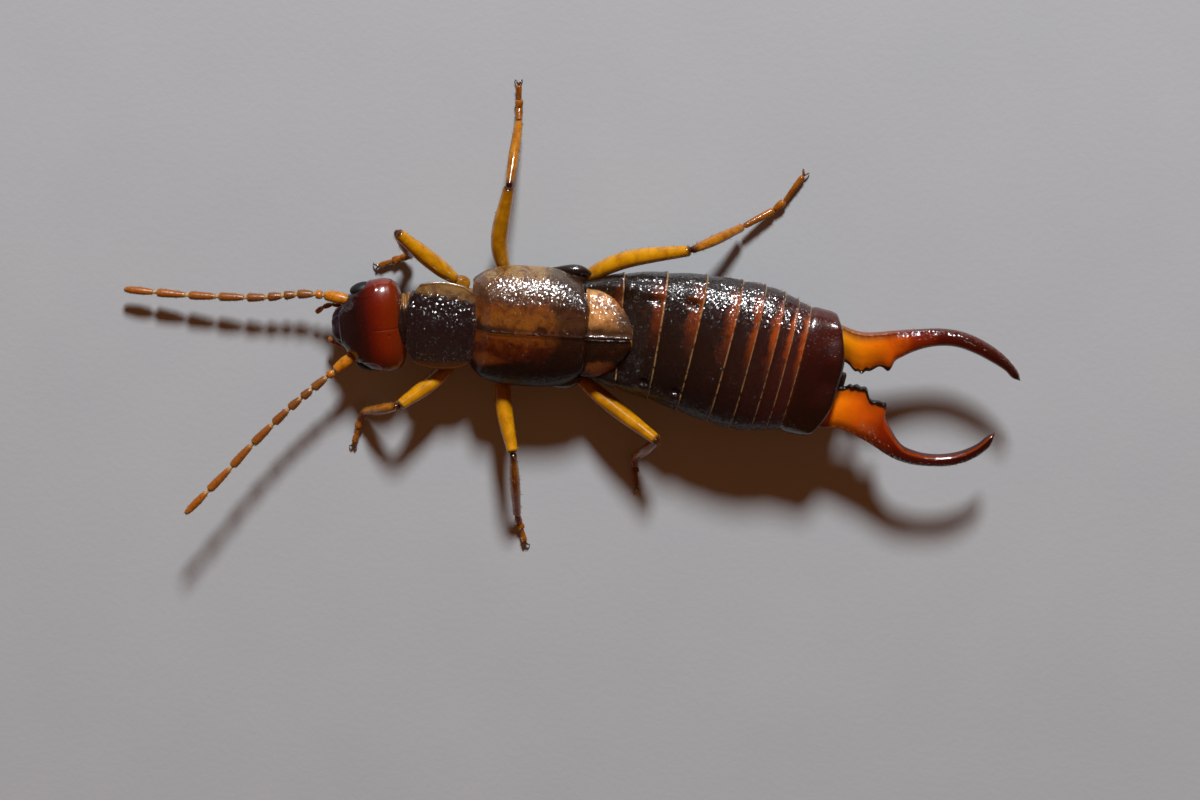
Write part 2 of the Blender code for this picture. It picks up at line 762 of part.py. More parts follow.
def build():
    clear_scene()
    insect = bpy.data.collections.new("earwig")
    bpy.context.scene.collection.children.link(insect)

    amber = material("amber_leg", (0.55, 0.28, 0.04), 0.3)
    red_brown = material("head_cuticle", (0.28, 0.05, 0.02), 0.2)
    black_brown = material("dark_cuticle", (0.05, 0.02, 0.02), 0.3)
    tan = material("wing_case", (0.35, 0.17, 0.06), 0.35)
    eye_black = material("eye", (0.01, 0.01, 0.012), 0.2)
    abdomen_brown = material("abdomen_cuticle", (0.12, 0.03, 0.02), 0.3)
    pincer = material("forceps", (0.45, 0.13, 0.03), 0.25)

    painted = [
        (make_head(insect), red_brown),
        (make_mouthparts(insect), black_brown),
        (make_pronotum(insect), black_brown),
        (make_thorax(insect), amber),
        (make_abdomen(insect), abdomen_brown),
        (make_last_tergite(insect), abdomen_brown),
        (make_pygidium(insect), black_brown),
    ]
    for side, arm_stops in (("left", FORCEPS_LEFT), ("right", FORCEPS_RIGHT)):
        painted.append((make_eye("eye_" + side, side, insect), eye_black))
        painted.append((make_antenna(side, insect), amber))
        painted.append((make_wing_case(side, insect), tan))
        painted.append((make_wing_tip(side, insect), tan))
        painted.append((make_forceps_arm(side, arm_stops, insect), pincer))
        for pair in ("front", "mid", "hind"):
            painted.append((make_leg(pair, side, insect), amber))
    for obj, finish_of_piece in painted:
        obj.data.materials.clear()
        obj.data.materials.append(finish_of_piece)
    finish(insect)


build()
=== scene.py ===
"""Looks of the life-size male earwig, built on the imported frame.

Lengths are millimetres on the axes that the part is shaped on: the head points along -Y, the
insect's left is +X, up is +Z, the ground is z = 0, and x = y = 0 lies under the middle of the
pronotum.
"""

import math

import bmesh
import bpy
import numpy as np
from mathutils import Matrix, Vector


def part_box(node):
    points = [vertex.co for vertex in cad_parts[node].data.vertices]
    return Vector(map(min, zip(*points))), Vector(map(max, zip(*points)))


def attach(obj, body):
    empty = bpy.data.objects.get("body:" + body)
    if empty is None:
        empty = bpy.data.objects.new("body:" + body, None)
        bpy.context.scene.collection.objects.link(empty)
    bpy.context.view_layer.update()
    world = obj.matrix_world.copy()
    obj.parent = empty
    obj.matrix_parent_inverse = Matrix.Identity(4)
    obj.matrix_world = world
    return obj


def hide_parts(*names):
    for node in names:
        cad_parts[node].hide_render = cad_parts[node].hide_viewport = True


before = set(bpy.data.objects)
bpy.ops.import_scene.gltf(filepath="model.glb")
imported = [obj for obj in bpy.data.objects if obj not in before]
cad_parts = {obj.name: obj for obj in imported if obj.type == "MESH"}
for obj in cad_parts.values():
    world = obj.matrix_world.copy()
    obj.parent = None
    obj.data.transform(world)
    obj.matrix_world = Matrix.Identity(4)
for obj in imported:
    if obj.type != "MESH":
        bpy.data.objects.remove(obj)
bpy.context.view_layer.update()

MM = 0.001
UP = np.array([0.0, 0.0, 1.0])
LEFT, RIGHT = 1, -1
SIDE_NAMES = {LEFT: "left", RIGHT: "right"}

# Camera: a 100 mm lens on a 36 mm sensor that sees 30 mm, tilted off the vertical
CAMERA_DISTANCE = 83.33
CAMERA_TILT = math.radians(17)
CAMERA_ROLL = math.radians(3.7)
CAMERA_LENS = 100
CAMERA_SENSOR = 36
CAMERA_CLIP = (0.001, 10)
CAMERA_TARGET = np.array([1.773, 3.925, 1.2])

# Lights: where the flash stands from the insect, and how wide it is
FLASH_DIRECTION = np.array([-0.84, 0.02, 0.54])
FLASH_DISTANCE = 200.0
FLASH_SIZE = 34.0
FLASH_POWER = 0.60
FLASH_COLOUR = (0.95, 0.98, 1.0)
ROOM_COLOUR = (0.30, 0.105, 0.038)
ROOM_STRENGTH = 0.42

# Head
HEAD_CENTRE = np.array([0.24, -1.75, 1.05])
HEAD_YAW = math.radians(8)
HEAD_HALF_WIDTH = 1.18
EYE_SIZE = np.array([0.14, 0.29, 0.22])
EYE_PLACE = np.array([0.99, 0.29, 0.02])
EYE_TURN = math.radians(-14)
EYE_FACETS = 900
EYE_FACET_HEIGHT = 0.022
LABRUM_HALF_WIDTH = 0.33
LABRUM_HALF_HEIGHT = 0.14
LABRUM_ROOT = 0.62
LABRUM_TIP = 1.12

# Jaws and palps: places off the middle of the head, ahead of it and up
JAW_STOPS = ((0.42, 0.56, -0.12), (0.40, 0.82, -0.16), (0.27, 1.00, -0.19), (0.06, 1.08, -0.20))
LONG_PALP_STOPS = {
    LEFT: ((0.34, 0.55, -0.30), (0.50, 0.88, -0.42), (0.52, 1.10, -0.50), (0.40, 1.28, -0.60)),
    RIGHT: ((0.38, 0.60, -0.26), (0.52, 0.98, -0.34), (0.46, 1.28, -0.44), (0.30, 1.52, -0.52)),
}
SHORT_PALP_STOPS = (
    (0.12, 0.60, -0.30), (0.22, 0.86, -0.42), (0.28, 1.00, -0.60), (0.30, 0.94, -0.76),
)
PALP_PROFILE = np.array([0.72, 0.95, 1.12, 1.05, 0.9])
LONG_PALP_RADIUS, LONG_PALP_PIECES = 0.062, 4
SHORT_PALP_RADIUS, SHORT_PALP_PIECES = 0.052, 3
JAW_WIDTHS = (0.14, 0.13, 0.09, 0.03)
JAW_HEIGHTS = (0.12, 0.11, 0.08, 0.03)

# Antennae: length of each piece from the root, pale joint included
ANTENNA_PIECES = (0.72, 0.20, 0.47, 0.33, 0.40, 0.53, 0.70, 0.75, 0.80, 0.80)
ANTENNA_RADIUS = 0.108
ANTENNA_PROFILES = {
    "root": (0.85, 1.20, 1.38, 1.36, 1.20, 0.95),
    "second": (0.80, 0.95, 1.05, 1.05, 1.0, 0.9),
    "middle": (0.60, 0.84, 0.96, 1.04, 1.08, 0.98),
    "tip": (0.60, 0.88, 0.98, 0.98, 0.86, 0.62),
}
JOINT_PROFILE = (0.50, 0.46, 0.46, 0.50)
ANTENNA_STOPS = {
    RIGHT: (
        (-0.36, -2.38, 1.00), (-0.39, -3.45, 0.80), (-0.19, -4.69, 0.68),
        (-0.11, -5.98, 0.58), (-0.09, -6.90, 0.50), (-0.11, -8.12, 0.42),
    ),
    LEFT: (
        (0.98, -2.18, 1.00), (1.66, -2.92, 1.04), (2.50, -3.80, 1.12),
        (3.50, -4.72, 1.25), (4.20, -5.30, 1.36), (5.33, -6.30, 1.55),
    ),
}

# Pronotum, and the neck that ends under it
PRONOTUM_CENTRE_X = 0.045
PRONOTUM_FRONT = -0.87
PRONOTUM_REAR = 0.84
PRONOTUM_HALF_WIDTH = 1.12
NECK_REAR = np.array([PRONOTUM_CENTRE_X, -0.50, 1.05])
NECK_FOLDS = 6

# Thorax: places along the body, with the half width or the depth below the middle at each
THORAX_WIDTHS = np.array([
    (-0.80, 0.44), (-0.62, 0.55), (-0.40, 0.74), (0.10, 0.84),
    (0.80, 0.86), (1.30, 0.98), (2.40, 1.02), (3.60, 1.00),
])
THORAX_DEPTHS = np.array([(-0.80, 0.26), (-0.40, 0.36), (0.2, 0.40), (2.4, 0.42), (3.60, 0.42)])
THORAX_MIDDLE = 0.84
THORAX_RISE = 0.40
THORAX_GROOVES = (-0.42, 0.78, 0.98, 2.05, 2.25)

# Plates on the flanks: front, rear, distance from the middle and height of each
FLANK_PLATES = ((0.95, 1.95, 1.10, 0.98), (2.10, 3.45, 1.27, 0.98))
FLANK_WIDTHS = (0.12, 0.24, 0.27, 0.20)
FLANK_HEIGHTS = (0.14, 0.22, 0.24, 0.18)
FLANK_LUMP_STOPS = (
    (-1.38, 2.10, 1.00), (-1.46, 2.75, 1.03), (-1.50, 3.20, 1.05), (-1.42, 3.52, 1.02),
)
FLANK_LUMP_WIDTHS = (0.03, 0.09, 0.14, 0.08)
FLANK_LUMP_HEIGHTS = (0.04, 0.09, 0.15, 0.09)

# Wing cases and the folded tips of the hind wings
CASE_HALF_WIDTH = 1.53
CASE_REAR = 3.55
CASE_EDGE_HEIGHT = 1.15
CASE_TOP = 1.95
WING_TIP_REAR = 4.64
WING_TIP_HALF_WIDTH = 1.12
WING_TIP_TOP = 1.93

# Abdomen: lengths of the plates that show, and the half width at the rear of each
WAIST = np.array([-0.05, 3.7])
TERGITE_LENGTHS = (0.59, 0.95, 0.86, 0.85, 0.57, 0.51, 0.37, 0.33)
TERGITE_HALF_WIDTHS = (1.46, 1.62, 1.75, 1.84, 1.87, 1.80, 1.70, 1.60)
WAIST_HALF_WIDTH = 1.30
WING_HOLLOW = 0.24
ABDOMEN_HIDDEN = 0.55
ABDOMEN_TURN = math.radians(10.3)
ABDOMEN_TURN_LENGTH = 3.0
ABDOMEN_LENGTH = sum(TERGITE_LENGTHS)
TAIL_DISTANCE = 5.78
PLATE_THICKNESS = 0.03
KNOBBED_PLATES = (1, 2)

# Plates of the back and the belly: first angle and turn, from the left side over the back
BACK_ARC = (math.radians(-24), math.radians(228))
BELLY_ARC = (math.radians(198), math.radians(144))

# Last plate: shares of its length, with the half width or the bulge to the rear at each
LAST_PLATE_WIDTHS = np.array([
    (0, 1.52), (0.15, 1.60), (0.55, 1.63), (0.82, 1.615), (0.93, 1.585), (0.98, 1.54), (1.0, 1.46),
])
LAST_PLATE_BULGES = np.array([(0, 0.0), (0.30, 0.03), (0.6, 0.13), (0.9, 0.30), (1.0, 0.38)])
PYGIDIUM_HALF_WIDTH = 0.21
PYGIDIUM_LENGTH = 0.30
PYGIDIUM_HEIGHT = 1.36

# Forceps: outer edge of each arm, then its inner edge, as places off the midline and along it
FORCEPS_EDGES = {
    RIGHT: (
        (1.38, -0.20, 0.62, -0.10), (1.37, 0.18, 0.51, 0.42), (1.34, 0.38, 0.38, 0.64),
        (1.34, 0.61, 0.33, 0.87), (1.39, 0.87, 0.49, 1.12), (1.46, 1.08, 0.60, 1.33),
        (1.53, 1.28, 0.58, 1.56), (1.57, 1.40, 0.81, 1.62), (1.64, 1.61, 0.99, 1.79),
        (1.76, 2.00, 1.26, 2.14), (1.90, 2.50, 1.47, 2.60), (1.95, 2.99, 1.54, 3.00),
        (1.88, 3.51, 1.49, 3.49), (1.71, 4.02, 1.38, 3.93), (1.48, 4.43, 1.24, 4.34),
        (1.23, 4.71, 1.09, 4.61), (1.08, 4.79, 1.07, 4.78),
    ),
    LEFT: (
        (1.30, -0.15, 0.40, -0.05), (1.29, 0.32, 0.13, 0.58), (1.23, 0.66, 0.05, 0.76),
        (1.26, 1.01, 0.06, 1.13), (1.33, 1.30, 0.31, 1.34), (1.39, 1.52, 0.30, 1.70),
        (1.46, 1.73, 0.60, 1.77), (1.57, 2.03, 0.91, 2.00), (1.65, 2.37, 1.24, 2.37),
        (1.67, 2.76, 1.32, 2.74), (1.60, 3.25, 1.30, 3.16), (1.46, 3.72, 1.18, 3.58),
        (1.22, 4.12, 0.99, 3.93), (0.93, 4.40, 0.75, 4.21), (0.66, 4.54, 0.49, 4.40),
        (0.38, 4.56, 0.36, 4.52),
    ),
}
FORCEPS_TOOTH = {RIGHT: 6, LEFT: 5}
FORCEPS_RIPE = {RIGHT: 0.0, LEFT: 0.13}
FORCEPS_HEIGHT = 1.50
FORCEPS_THICKNESS = 0.20

# Relief of the forceps: angles round each arm, from its outer edge over the top
RIDGE_ANGLE = math.radians(22)
GLINTS_ANGLE = math.radians(56)
HOLLOW_ANGLE = math.radians(112)
FLANGE_ANGLE = math.radians(158)

# Legs: hip, thigh, knee, ankle, two joints of the foot and the toe
LEG_STOPS = {
    ("front", RIGHT): (
        (-0.86, 0.30, 0.66), (-1.45, -0.42, 0.98), (-2.27, -1.33, 1.46), (-1.42, -1.00, 0.34),
        (-1.30, -1.24, 0.16), (-1.20, -1.45, 0.13), (-1.06, -1.78, 0.12),
    ),
    ("front", LEFT): (
        (0.95, 0.36, 0.66), (1.62, -0.25, 0.92), (2.21, -1.08, 1.34), (2.72, -1.99, 0.34),
        (3.00, -2.09, 0.16), (3.22, -2.14, 0.13), (3.62, -2.22, 0.12),
    ),
    ("mid", RIGHT): (
        (-0.90, 1.42, 0.60), (-2.15, 1.18, 1.00), (-3.62, 1.35, 1.50), (-5.01, 1.49, 0.34),
        (-5.28, 1.47, 0.16), (-5.48, 1.46, 0.13), (-5.84, 1.43, 0.12),
    ),
    ("mid", LEFT): (
        (0.95, 1.42, 0.60), (2.15, 1.53, 1.00), (3.20, 1.84, 1.60), (5.24, 2.03, 0.34),
        (5.48, 2.09, 0.16), (5.66, 2.15, 0.13), (6.00, 2.26, 0.12),
    ),
    ("hind", RIGHT): (
        (-1.04, 3.00, 0.64), (-1.86, 4.35, 1.10), (-2.29, 5.92, 1.46), (-2.70, 7.20, 0.38),
        (-3.12, 7.95, 0.16), (-3.34, 8.18, 0.13), (-4.02, 8.60, 0.12),
    ),
    ("hind", LEFT): (
        (1.10, 3.00, 0.64), (1.95, 4.25, 1.05), (2.64, 5.42, 1.52), (3.50, 4.90, 0.34),
        (3.78, 4.94, 0.16), (3.96, 4.97, 0.13), (4.32, 5.02, 0.12),
    ),
}

# Legs: half widths and half heights at even shares of each piece's length
COXA_WIDTHS = (0.20, 0.22, 0.13)
COXA_HEIGHTS = (0.18, 0.19, 0.11)
FEMUR_WIDTHS = (0.12, 0.195, 0.215, 0.205, 0.17, 0.135)
FEMUR_HEIGHTS = (0.13, 0.235, 0.26, 0.24, 0.19, 0.15)
TIBIA_WIDTHS = (0.085, 0.115, 0.132, 0.128, 0.112, 0.10)
TIBIA_HEIGHTS = (0.10, 0.125, 0.142, 0.136, 0.118, 0.105)
FOOT_WIDTHS = (
    (0.072, 0.085, 0.092, 0.088), (0.070, 0.092, 0.104, 0.085), (0.052, 0.062, 0.072, 0.070),
)
FOOT_FLATNESS = 0.86

# Claws: ahead of the toe, beside it and up
CLAW_STOPS = (
    (0.02, 0.0, 0.0), (0.09, 0.040, 0.004), (0.135, 0.075, -0.030), (0.140, 0.105, -0.095),
)
CLAW_WIDTHS = (0.030, 0.024, 0.016, 0.006)
CLAW_HEIGHTS = (0.034, 0.028, 0.018, 0.006)

# Bristles: how many grow on a patch, and their length; antennae have them by the millimetre
HAIRS = {
    "antenna": (70, 0.065), "abdomen": (16, 0.09), "forceps": (26, 0.08),
    "femur": (40, 0.07), "tibia": (90, 0.10), "foot": (22, 0.07),
}
HAIR_RADIUS = 0.006
HAIR_SEED = 7

# How square the cross sections are: 2 is an ellipse
BODY_POWER = 2.3
CASE_POWER = 2.4
THORAX_POWER = 2.6
PYGIDIUM_POWER = 3.6

# Materials and ground
NOISE_ROUGHNESS = 0.55
FLOOR_SIZE = 1.2


def origin_in_frame():
    """The frame's place, in metres, of the point that the millimetres here are measured from."""
    low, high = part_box("pronotum")
    middle = (low + high) / 2
    edge = (PRONOTUM_FRONT + PRONOTUM_REAR) / 2 * MM
    return Vector((middle.x - PRONOTUM_CENTRE_X * MM, middle.y - edge, 0))


TO_FRAME = Matrix.Translation(origin_in_frame()) @ Matrix.Scale(MM, 4)


def spline(knots, values, at):
    """Smooth curve through the values at the knots, read at each place in at."""
    knots = np.asarray(knots, float)
    values = np.asarray(values, float)
    at = np.clip(np.asarray(at, float), knots[0], knots[-1])
    slopes = np.gradient(values, knots, axis=0)
    low = np.clip(np.searchsorted(knots, at, side="right") - 1, 0, len(knots) - 2)
    span = knots[low + 1] - knots[low]
    u = (at - knots[low]) / span
    if values.ndim > 1:
        u = u[..., None]
        span = span[..., None]
    return (
        (2 * u ** 3 - 3 * u ** 2 + 1) * values[low]
        + (u ** 3 - 2 * u ** 2 + u) * span * slopes[low]
        + (3 * u ** 2 - 2 * u ** 3) * values[low + 1]
        + (u ** 3 - u ** 2) * span * slopes[low + 1]
    )


def smooth(low, high, value):
    """0 below low, 1 above high, and an S between; high may be under low."""
    t = np.clip((value - low) / (high - low), 0, 1)
    return t * t * (3 - 2 * t)


def bump(value, centre, width):
    """A round bump of height 1 at the centre."""
    return np.exp(-((value - centre) / width) ** 2)


def unit(vectors):
    length = np.linalg.norm(vectors, axis=-1, keepdims=True)
    return vectors / np.maximum(length, 1e-9)


def eased(count):
    """Shares from 0 to 1, close together at both ends."""
    return 0.5 - 0.5 * np.cos(np.pi * np.arange(count) / (count - 1))


def points_of(x, y, z):
    """One grid of points from three grids of numbers."""
    return np.stack(np.broadcast_arrays(x, y, z), -1)


def on_square(angles, power):
    """Places on a rounded square of half width 1 at these angles; 2 gives a circle."""
    c, s = np.cos(angles), np.sin(angles)
    return np.sign(c) * np.abs(c) ** (2 / power), np.sign(s) * np.abs(s) ** (2 / power)


def sections(centres, sides, ups, half_widths, rises, drops, angles, power=2.0):
    """A grid of points: a row for each section, round it by the angles."""
    across, height = on_square(angles, power)
    wide = across * np.broadcast_to(half_widths, len(centres))[:, None]
    rises = np.broadcast_to(rises, len(centres))[:, None]
    drops = np.broadcast_to(drops, len(centres))[:, None]
    high = height * np.where(height > 0, rises, drops)
    sides = np.broadcast_to(sides, (len(centres), 3))
    ups = np.broadcast_to(ups, (len(centres), 3))
    return centres[:, None] + sides[:, None] * wide[..., None] + ups[:, None] * high[..., None]


def full_turn(count):
    return 2 * np.pi * np.arange(count) / count


def normals(points, closed):
    """Unit normals of a grid of points, out of a closed grid and up from an open one."""
    along = np.gradient(points, axis=0)
    if closed:
        around = np.roll(points, -1, 1) - np.roll(points, 1, 1)
    else:
        around = np.gradient(points, axis=1)
    result = unit(np.cross(around, along))
    if closed:
        out = (result * (points - points.mean(1, keepdims=True))).sum()
    else:
        out = result[..., 2].sum()
    return result if out > 0 else -result


class Shape:
    """Gathers the surfaces of one mesh, with three numbers at each point for its material."""

    MARKS = ("along", "across", "shade")

    def __init__(self, name):
        self.name = name
        self.points = []
        self.marks = []
        self.faces = []
        self.finishes = []
        self.count = 0

    def add(self, points, faces, marks, finish=0):
        points = np.asarray(points, float).reshape(-1, 3)
        columns = []
        for name in self.MARKS:
            value = np.asarray(marks.get(name, 0.0), float)
            columns.append(np.broadcast_to(value.reshape(-1), len(points)))
        self.points.append(points)
        self.marks.append(np.stack(columns, 1))
        self.faces.extend([[k + self.count for k in face] for face in faces])
        self.finishes.extend([finish] * len(faces))
        self.count += len(points)

    def tube(self, points, finish=0, **marks):
        """A closed body: a grid that wraps round its columns, with a fan over each end."""
        rows, columns = points.shape[:2]
        at = np.arange(rows * columns).reshape(rows, columns)
        after = np.roll(at, -1, 1)
        faces = np.stack([at[:-1], after[:-1], after[1:], at[1:]], -1).reshape(-1, 4).tolist()
        first, last = rows * columns, rows * columns + 1
        for k in range(columns):
            faces.append([first, after[0, k], at[0, k]])
            faces.append([last, at[-1, k], after[-1, k]])
        ends = np.stack([points[0].mean(0), points[-1].mean(0)])
        all_points = np.concatenate([points.reshape(-1, 3), ends])
        self.add(all_points, faces, self.grid_marks(points, marks, True), finish)

    def plate(self, outer, inner, finish=0, **marks):
        """A closed thin plate between two grids."""
        rows, columns = outer.shape[:2]
        at = np.arange(rows * columns).reshape(rows, columns)
        under = at + rows * columns
        quads = [
            np.stack([at[:-1, :-1], at[:-1, 1:], at[1:, 1:], at[1:, :-1]], -1),
            np.stack([under[:-1, :-1], under[1:, :-1], under[1:, 1:], under[:-1, 1:]], -1),
        ]
        rim = np.concatenate([at[0, :-1], at[:-1, -1], at[-1, :0:-1], at[:0:-1, 0]])
        below = rim + rows * columns
        quads.append(np.stack([rim, below, np.roll(below, -1), np.roll(rim, -1)], -1))
        faces = np.concatenate([quad.reshape(-1, 4) for quad in quads]).tolist()
        top = self.grid_marks(outer, marks, False)
        both = {name: np.concatenate([value, value]) for name, value in top.items()}
        all_points = np.concatenate([outer.reshape(-1, 3), inner.reshape(-1, 3)])
        self.add(all_points, faces, both, finish)

    def grid_marks(self, points, marks, ended):
        """Each mark as one number per point; along and across come from the grid itself."""
        rows, columns = points.shape[:2]
        grids = {
            "along": np.linspace(0, 1, rows)[:, None],
            "across": np.linspace(-1, 1, columns)[None, :],
            "shade": 0.0,
            **marks,
        }
        filled = {}
        for name, grid in grids.items():
            grid = np.broadcast_to(grid, (rows, columns))
            values = grid.reshape(-1)
            if ended:
                values = np.concatenate([values, [grid[0].mean(), grid[-1].mean()]])
            filled[name] = values
        return filled

    def finish(self, materials, slot, nodes=(), crease=50):
        """Makes the mesh in the frame's metres; it stands for the nodes, if any."""
        mesh = bpy.data.meshes.new(self.name)
        mesh.from_pydata(np.concatenate(self.points).tolist(), [], self.faces)
        bm = bmesh.new()
        bm.from_mesh(mesh)
        bmesh.ops.recalc_face_normals(bm, faces=bm.faces)
        bm.to_mesh(mesh)
        bm.free()
        mesh.transform(TO_FRAME)
        marks = np.concatenate(self.marks)
        for k, name in enumerate(self.MARKS):
            layer = mesh.attributes.new(name, "FLOAT", "POINT")
            layer.data.foreach_set("value", np.ascontiguousarray(marks[:, k], np.float32))
        for material in materials:
            mesh.materials.append(material)
        mesh.polygons.foreach_set("material_index", self.finishes)
        mesh.shade_smooth()
        mesh.set_sharp_from_angle(angle=math.radians(crease))
        obj = bpy.data.objects.new(self.name, mesh)
        bpy.context.scene.collection.objects.link(obj)
        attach(obj, "root")
        if nodes:
            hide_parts(*nodes)
        return obj


class Value:
    """What a node of a material works out; arithmetic on it adds more nodes."""

    def __init__(self, skin, socket):
        self.skin = skin
        self.socket = socket

    def math(self, operation, other=0.0):
        return self.skin.node("Math", "Value", {0: self, 1: other}, operation=operation)

    def __add__(self, other):
        return self.math("ADD", other)

    def __sub__(self, other):
        return self.math("SUBTRACT", other)

    def __rsub__(self, other):
        return self * -1.0 + other

    def __mul__(self, other):
        return self.math("MULTIPLY", other)

    def __truediv__(self, other):
        return self.math("DIVIDE", other)

    def __abs__(self):
        return self.math("ABSOLUTE")

    def step(self, low, high):
        """0 below low, 1 above high, and an S between; high may be under low."""
        ends = (1, 0) if high < low else (0, 1)
        return self.skin.node("MapRange", "Result", {
            "Value": self, "From Min": min(low, high), "From Max": max(low, high),
            "To Min": ends[0], "To Max": ends[1],
        }, interpolation_type="SMOOTHSTEP")


class Finish:
    """A procedural material: one principled shader, and short calls for what feeds it."""

    def __init__(self, name, coat=0.0, coat_roughness=0.1, shine=0.5, coat_index=1.5):
        self.material = bpy.data.materials.new(name)
        self.material.use_nodes = True
        self.nodes = self.material.node_tree.nodes
        self.links = self.material.node_tree.links
        self.shader = self.nodes["Principled BSDF"]
        self.set("Coat Weight", coat)
        self.set("Coat Roughness", coat_roughness)
        self.set("Coat IOR", coat_index)
        self.set("Specular IOR Level", shine)
        self.place = self.stretched(self.node("TexCoord", "Object"), (1 / MM, 1 / MM, 1 / MM))

    def node(self, kind, output, inputs=None, **settings):
        """Adds a node, sets and feeds it, and gives one of its outputs."""
        node = self.nodes.new("ShaderNode" + kind)
        for name, value in settings.items():
            setattr(node, name, value)
        for name, value in (inputs or {}).items():
            self.feed(node.inputs[name], value)
        return Value(self, node.outputs[output])

    def feed(self, socket, value):
        if isinstance(value, Value):
            self.links.new(value.socket, socket)
        elif socket.type == "RGBA":
            socket.default_value = (*value, 1)
        else:
            socket.default_value = value

    def set(self, socket, value):
        """Sets a socket of the shader to a number, a colour or what another node works out."""
        self.feed(self.shader.inputs[socket], value)

    def glow(self, weight, depth, colour):
        """Light that enters the cuticle and leaves it again, depth in millimetres."""
        self.set("Subsurface Weight", weight)
        self.set("Subsurface Scale", depth * MM)
        self.set("Subsurface Radius", colour)

    def rough(self, per_mm, low, spread, detail=3):
        """Patchy roughness that spreads upwards from the low value."""
        self.set("Roughness", self.noise(per_mm, detail) * spread + low)

    def mark(self, name):
        return self.node("Attribute", "Fac", attribute_name=name)

    def stretched(self, place, factors):
        return self.node("Mapping", "Vector", {"Vector": place, "Scale": factors})

    def noise(self, per_mm, detail=3, distortion=0.0, place=None):
        return self.node("TexNoise", "Fac", {
            "Vector": place or self.place, "Scale": per_mm, "Detail": detail,
            "Roughness": NOISE_ROUGHNESS, "Distortion": distortion,
        })

    def wander(self, per_mm, spread, detail=3, distortion=0.0):
        """Noise about 0, as wide as the spread."""
        return self.noise(per_mm, detail, distortion) * spread - spread / 2

    def cells(self, per_mm, output="Distance"):
        return self.node("TexVoronoi", output, {"Vector": self.place, "Scale": per_mm})

    def facets(self, per_mm):
        """Height in millimetres of tiny flat facets, most of them nearly level, some steep."""
        middle = self.cells(per_mm, "Position")
        colour = Value(self, middle.socket.node.outputs["Color"])
        within = self.vectors("SUBTRACT", self.place, middle)
        tilt = self.vectors("SUBTRACT", colour, (0.5, 0.5, 0.5))
        tilt = self.vectors("MULTIPLY", tilt, self.vectors("ABSOLUTE", tilt))
        return self.vectors("DOT_PRODUCT", within, tilt, output="Value")

    def vectors(self, operation, *inputs, output="Vector"):
        return self.node("VectorMath", output, dict(enumerate(inputs)), operation=operation)

    def ramp(self, value, *stops):
        """Colour by value, from (place, colour) stops."""
        result = self.node("ValToRGB", "Color", {"Fac": value})
        elements = result.socket.node.color_ramp.elements
        while len(elements) > 1:
            elements.remove(elements[-1])
        elements[0].position = stops[0][0]
        elements[0].color = (*stops[0][1], 1)
        for place, colour in stops[1:]:
            elements.new(place).color = (*colour, 1)
        return result

    def mix(self, factor, first, second):
        inputs = {"Factor": factor, "A": first, "B": second}
        return self.node("Mix", "Result", inputs, data_type="RGBA")

    def done(self, colour, *layers):
        """Sets the colour, and fine relief from (height, depth in millimetres) layers."""
        self.set("Base Color", colour)
        below = None
        for height, depth in layers:
            inputs = {"Height": height, "Distance": depth * MM}
            if below:
                inputs["Normal"] = below
            below = self.node("Bump", "Normal", inputs)
        self.set("Normal", below)
        coat = self.shader.inputs["Coat Weight"]
        if coat.is_linked or coat.default_value > 0:
            self.set("Coat Normal", below)
        return self.material


class Stand:
    """A turned place on the insect, with its own left, forward and up."""

    def __init__(self, origin, yaw):
        self.origin = np.asarray(origin, float)
        self.forward = np.array([math.sin(yaw), -math.cos(yaw), 0.0])
        self.left = np.array([math.cos(yaw), math.sin(yaw), 0.0])

    def at(self, left, forward, up):
        left, forward, up = np.broadcast_arrays(left, forward, up)
        return (
            self.origin + left[..., None] * self.left
            + forward[..., None] * self.forward + up[..., None] * UP
        )


def outline_angles(shares, power, first=0.0, turn=2 * math.pi):
    """Angles at these shares of the way along a rounded square's outline."""
    fine = np.linspace(first, first + turn, 4001)
    x, y = on_square(fine, power)
    travelled = np.concatenate([[0], np.cumsum(np.hypot(np.diff(x), np.diff(y)))])
    return np.interp(np.asarray(shares) * travelled[-1], travelled, fine)


def ring_angles(count, power):
    """Angles of a whole turn at even steps along a rounded square's outline."""
    return outline_angles(np.arange(count) / count, power)


def path_at(stops, shares):
    """Points of the smooth curve through the stops, at shares of its length."""
    stops = np.asarray(stops, float)
    knots = np.linspace(0, 1, len(stops))
    fine = spline(knots, stops, np.linspace(0, 1, 400))
    travelled = np.concatenate([[0], np.cumsum(np.linalg.norm(np.diff(fine, axis=0), axis=1))])
    travelled /= travelled[-1]
    return np.stack([np.interp(shares, travelled, fine[:, k]) for k in range(3)], 1)


def limb_grid(path, half_widths, half_heights, columns):
    """Rings of points square to a path; the half heights reach upwards."""
    along = unit(np.gradient(path, axis=0))
    sides = unit(np.cross(along, UP))
    ups = unit(np.cross(sides, along))
    return sections(path, sides, ups, half_widths, half_heights, half_heights, full_turn(columns))


def round_off(distance, reach, least=0.0):
    """Grows from 0 to 1 over the reach, along a quarter circle."""
    return np.sqrt(np.maximum(1 - (1 - np.clip(distance / reach, 0, 1)) ** 2, least))


def rounded(shares, start, end):
    """Factor that closes a limb with a round end over these shares of it."""
    return round_off(shares, start, 1e-4) * round_off(1 - shares, end, 1e-4)


HEAD = Stand(HEAD_CENTRE, HEAD_YAW)
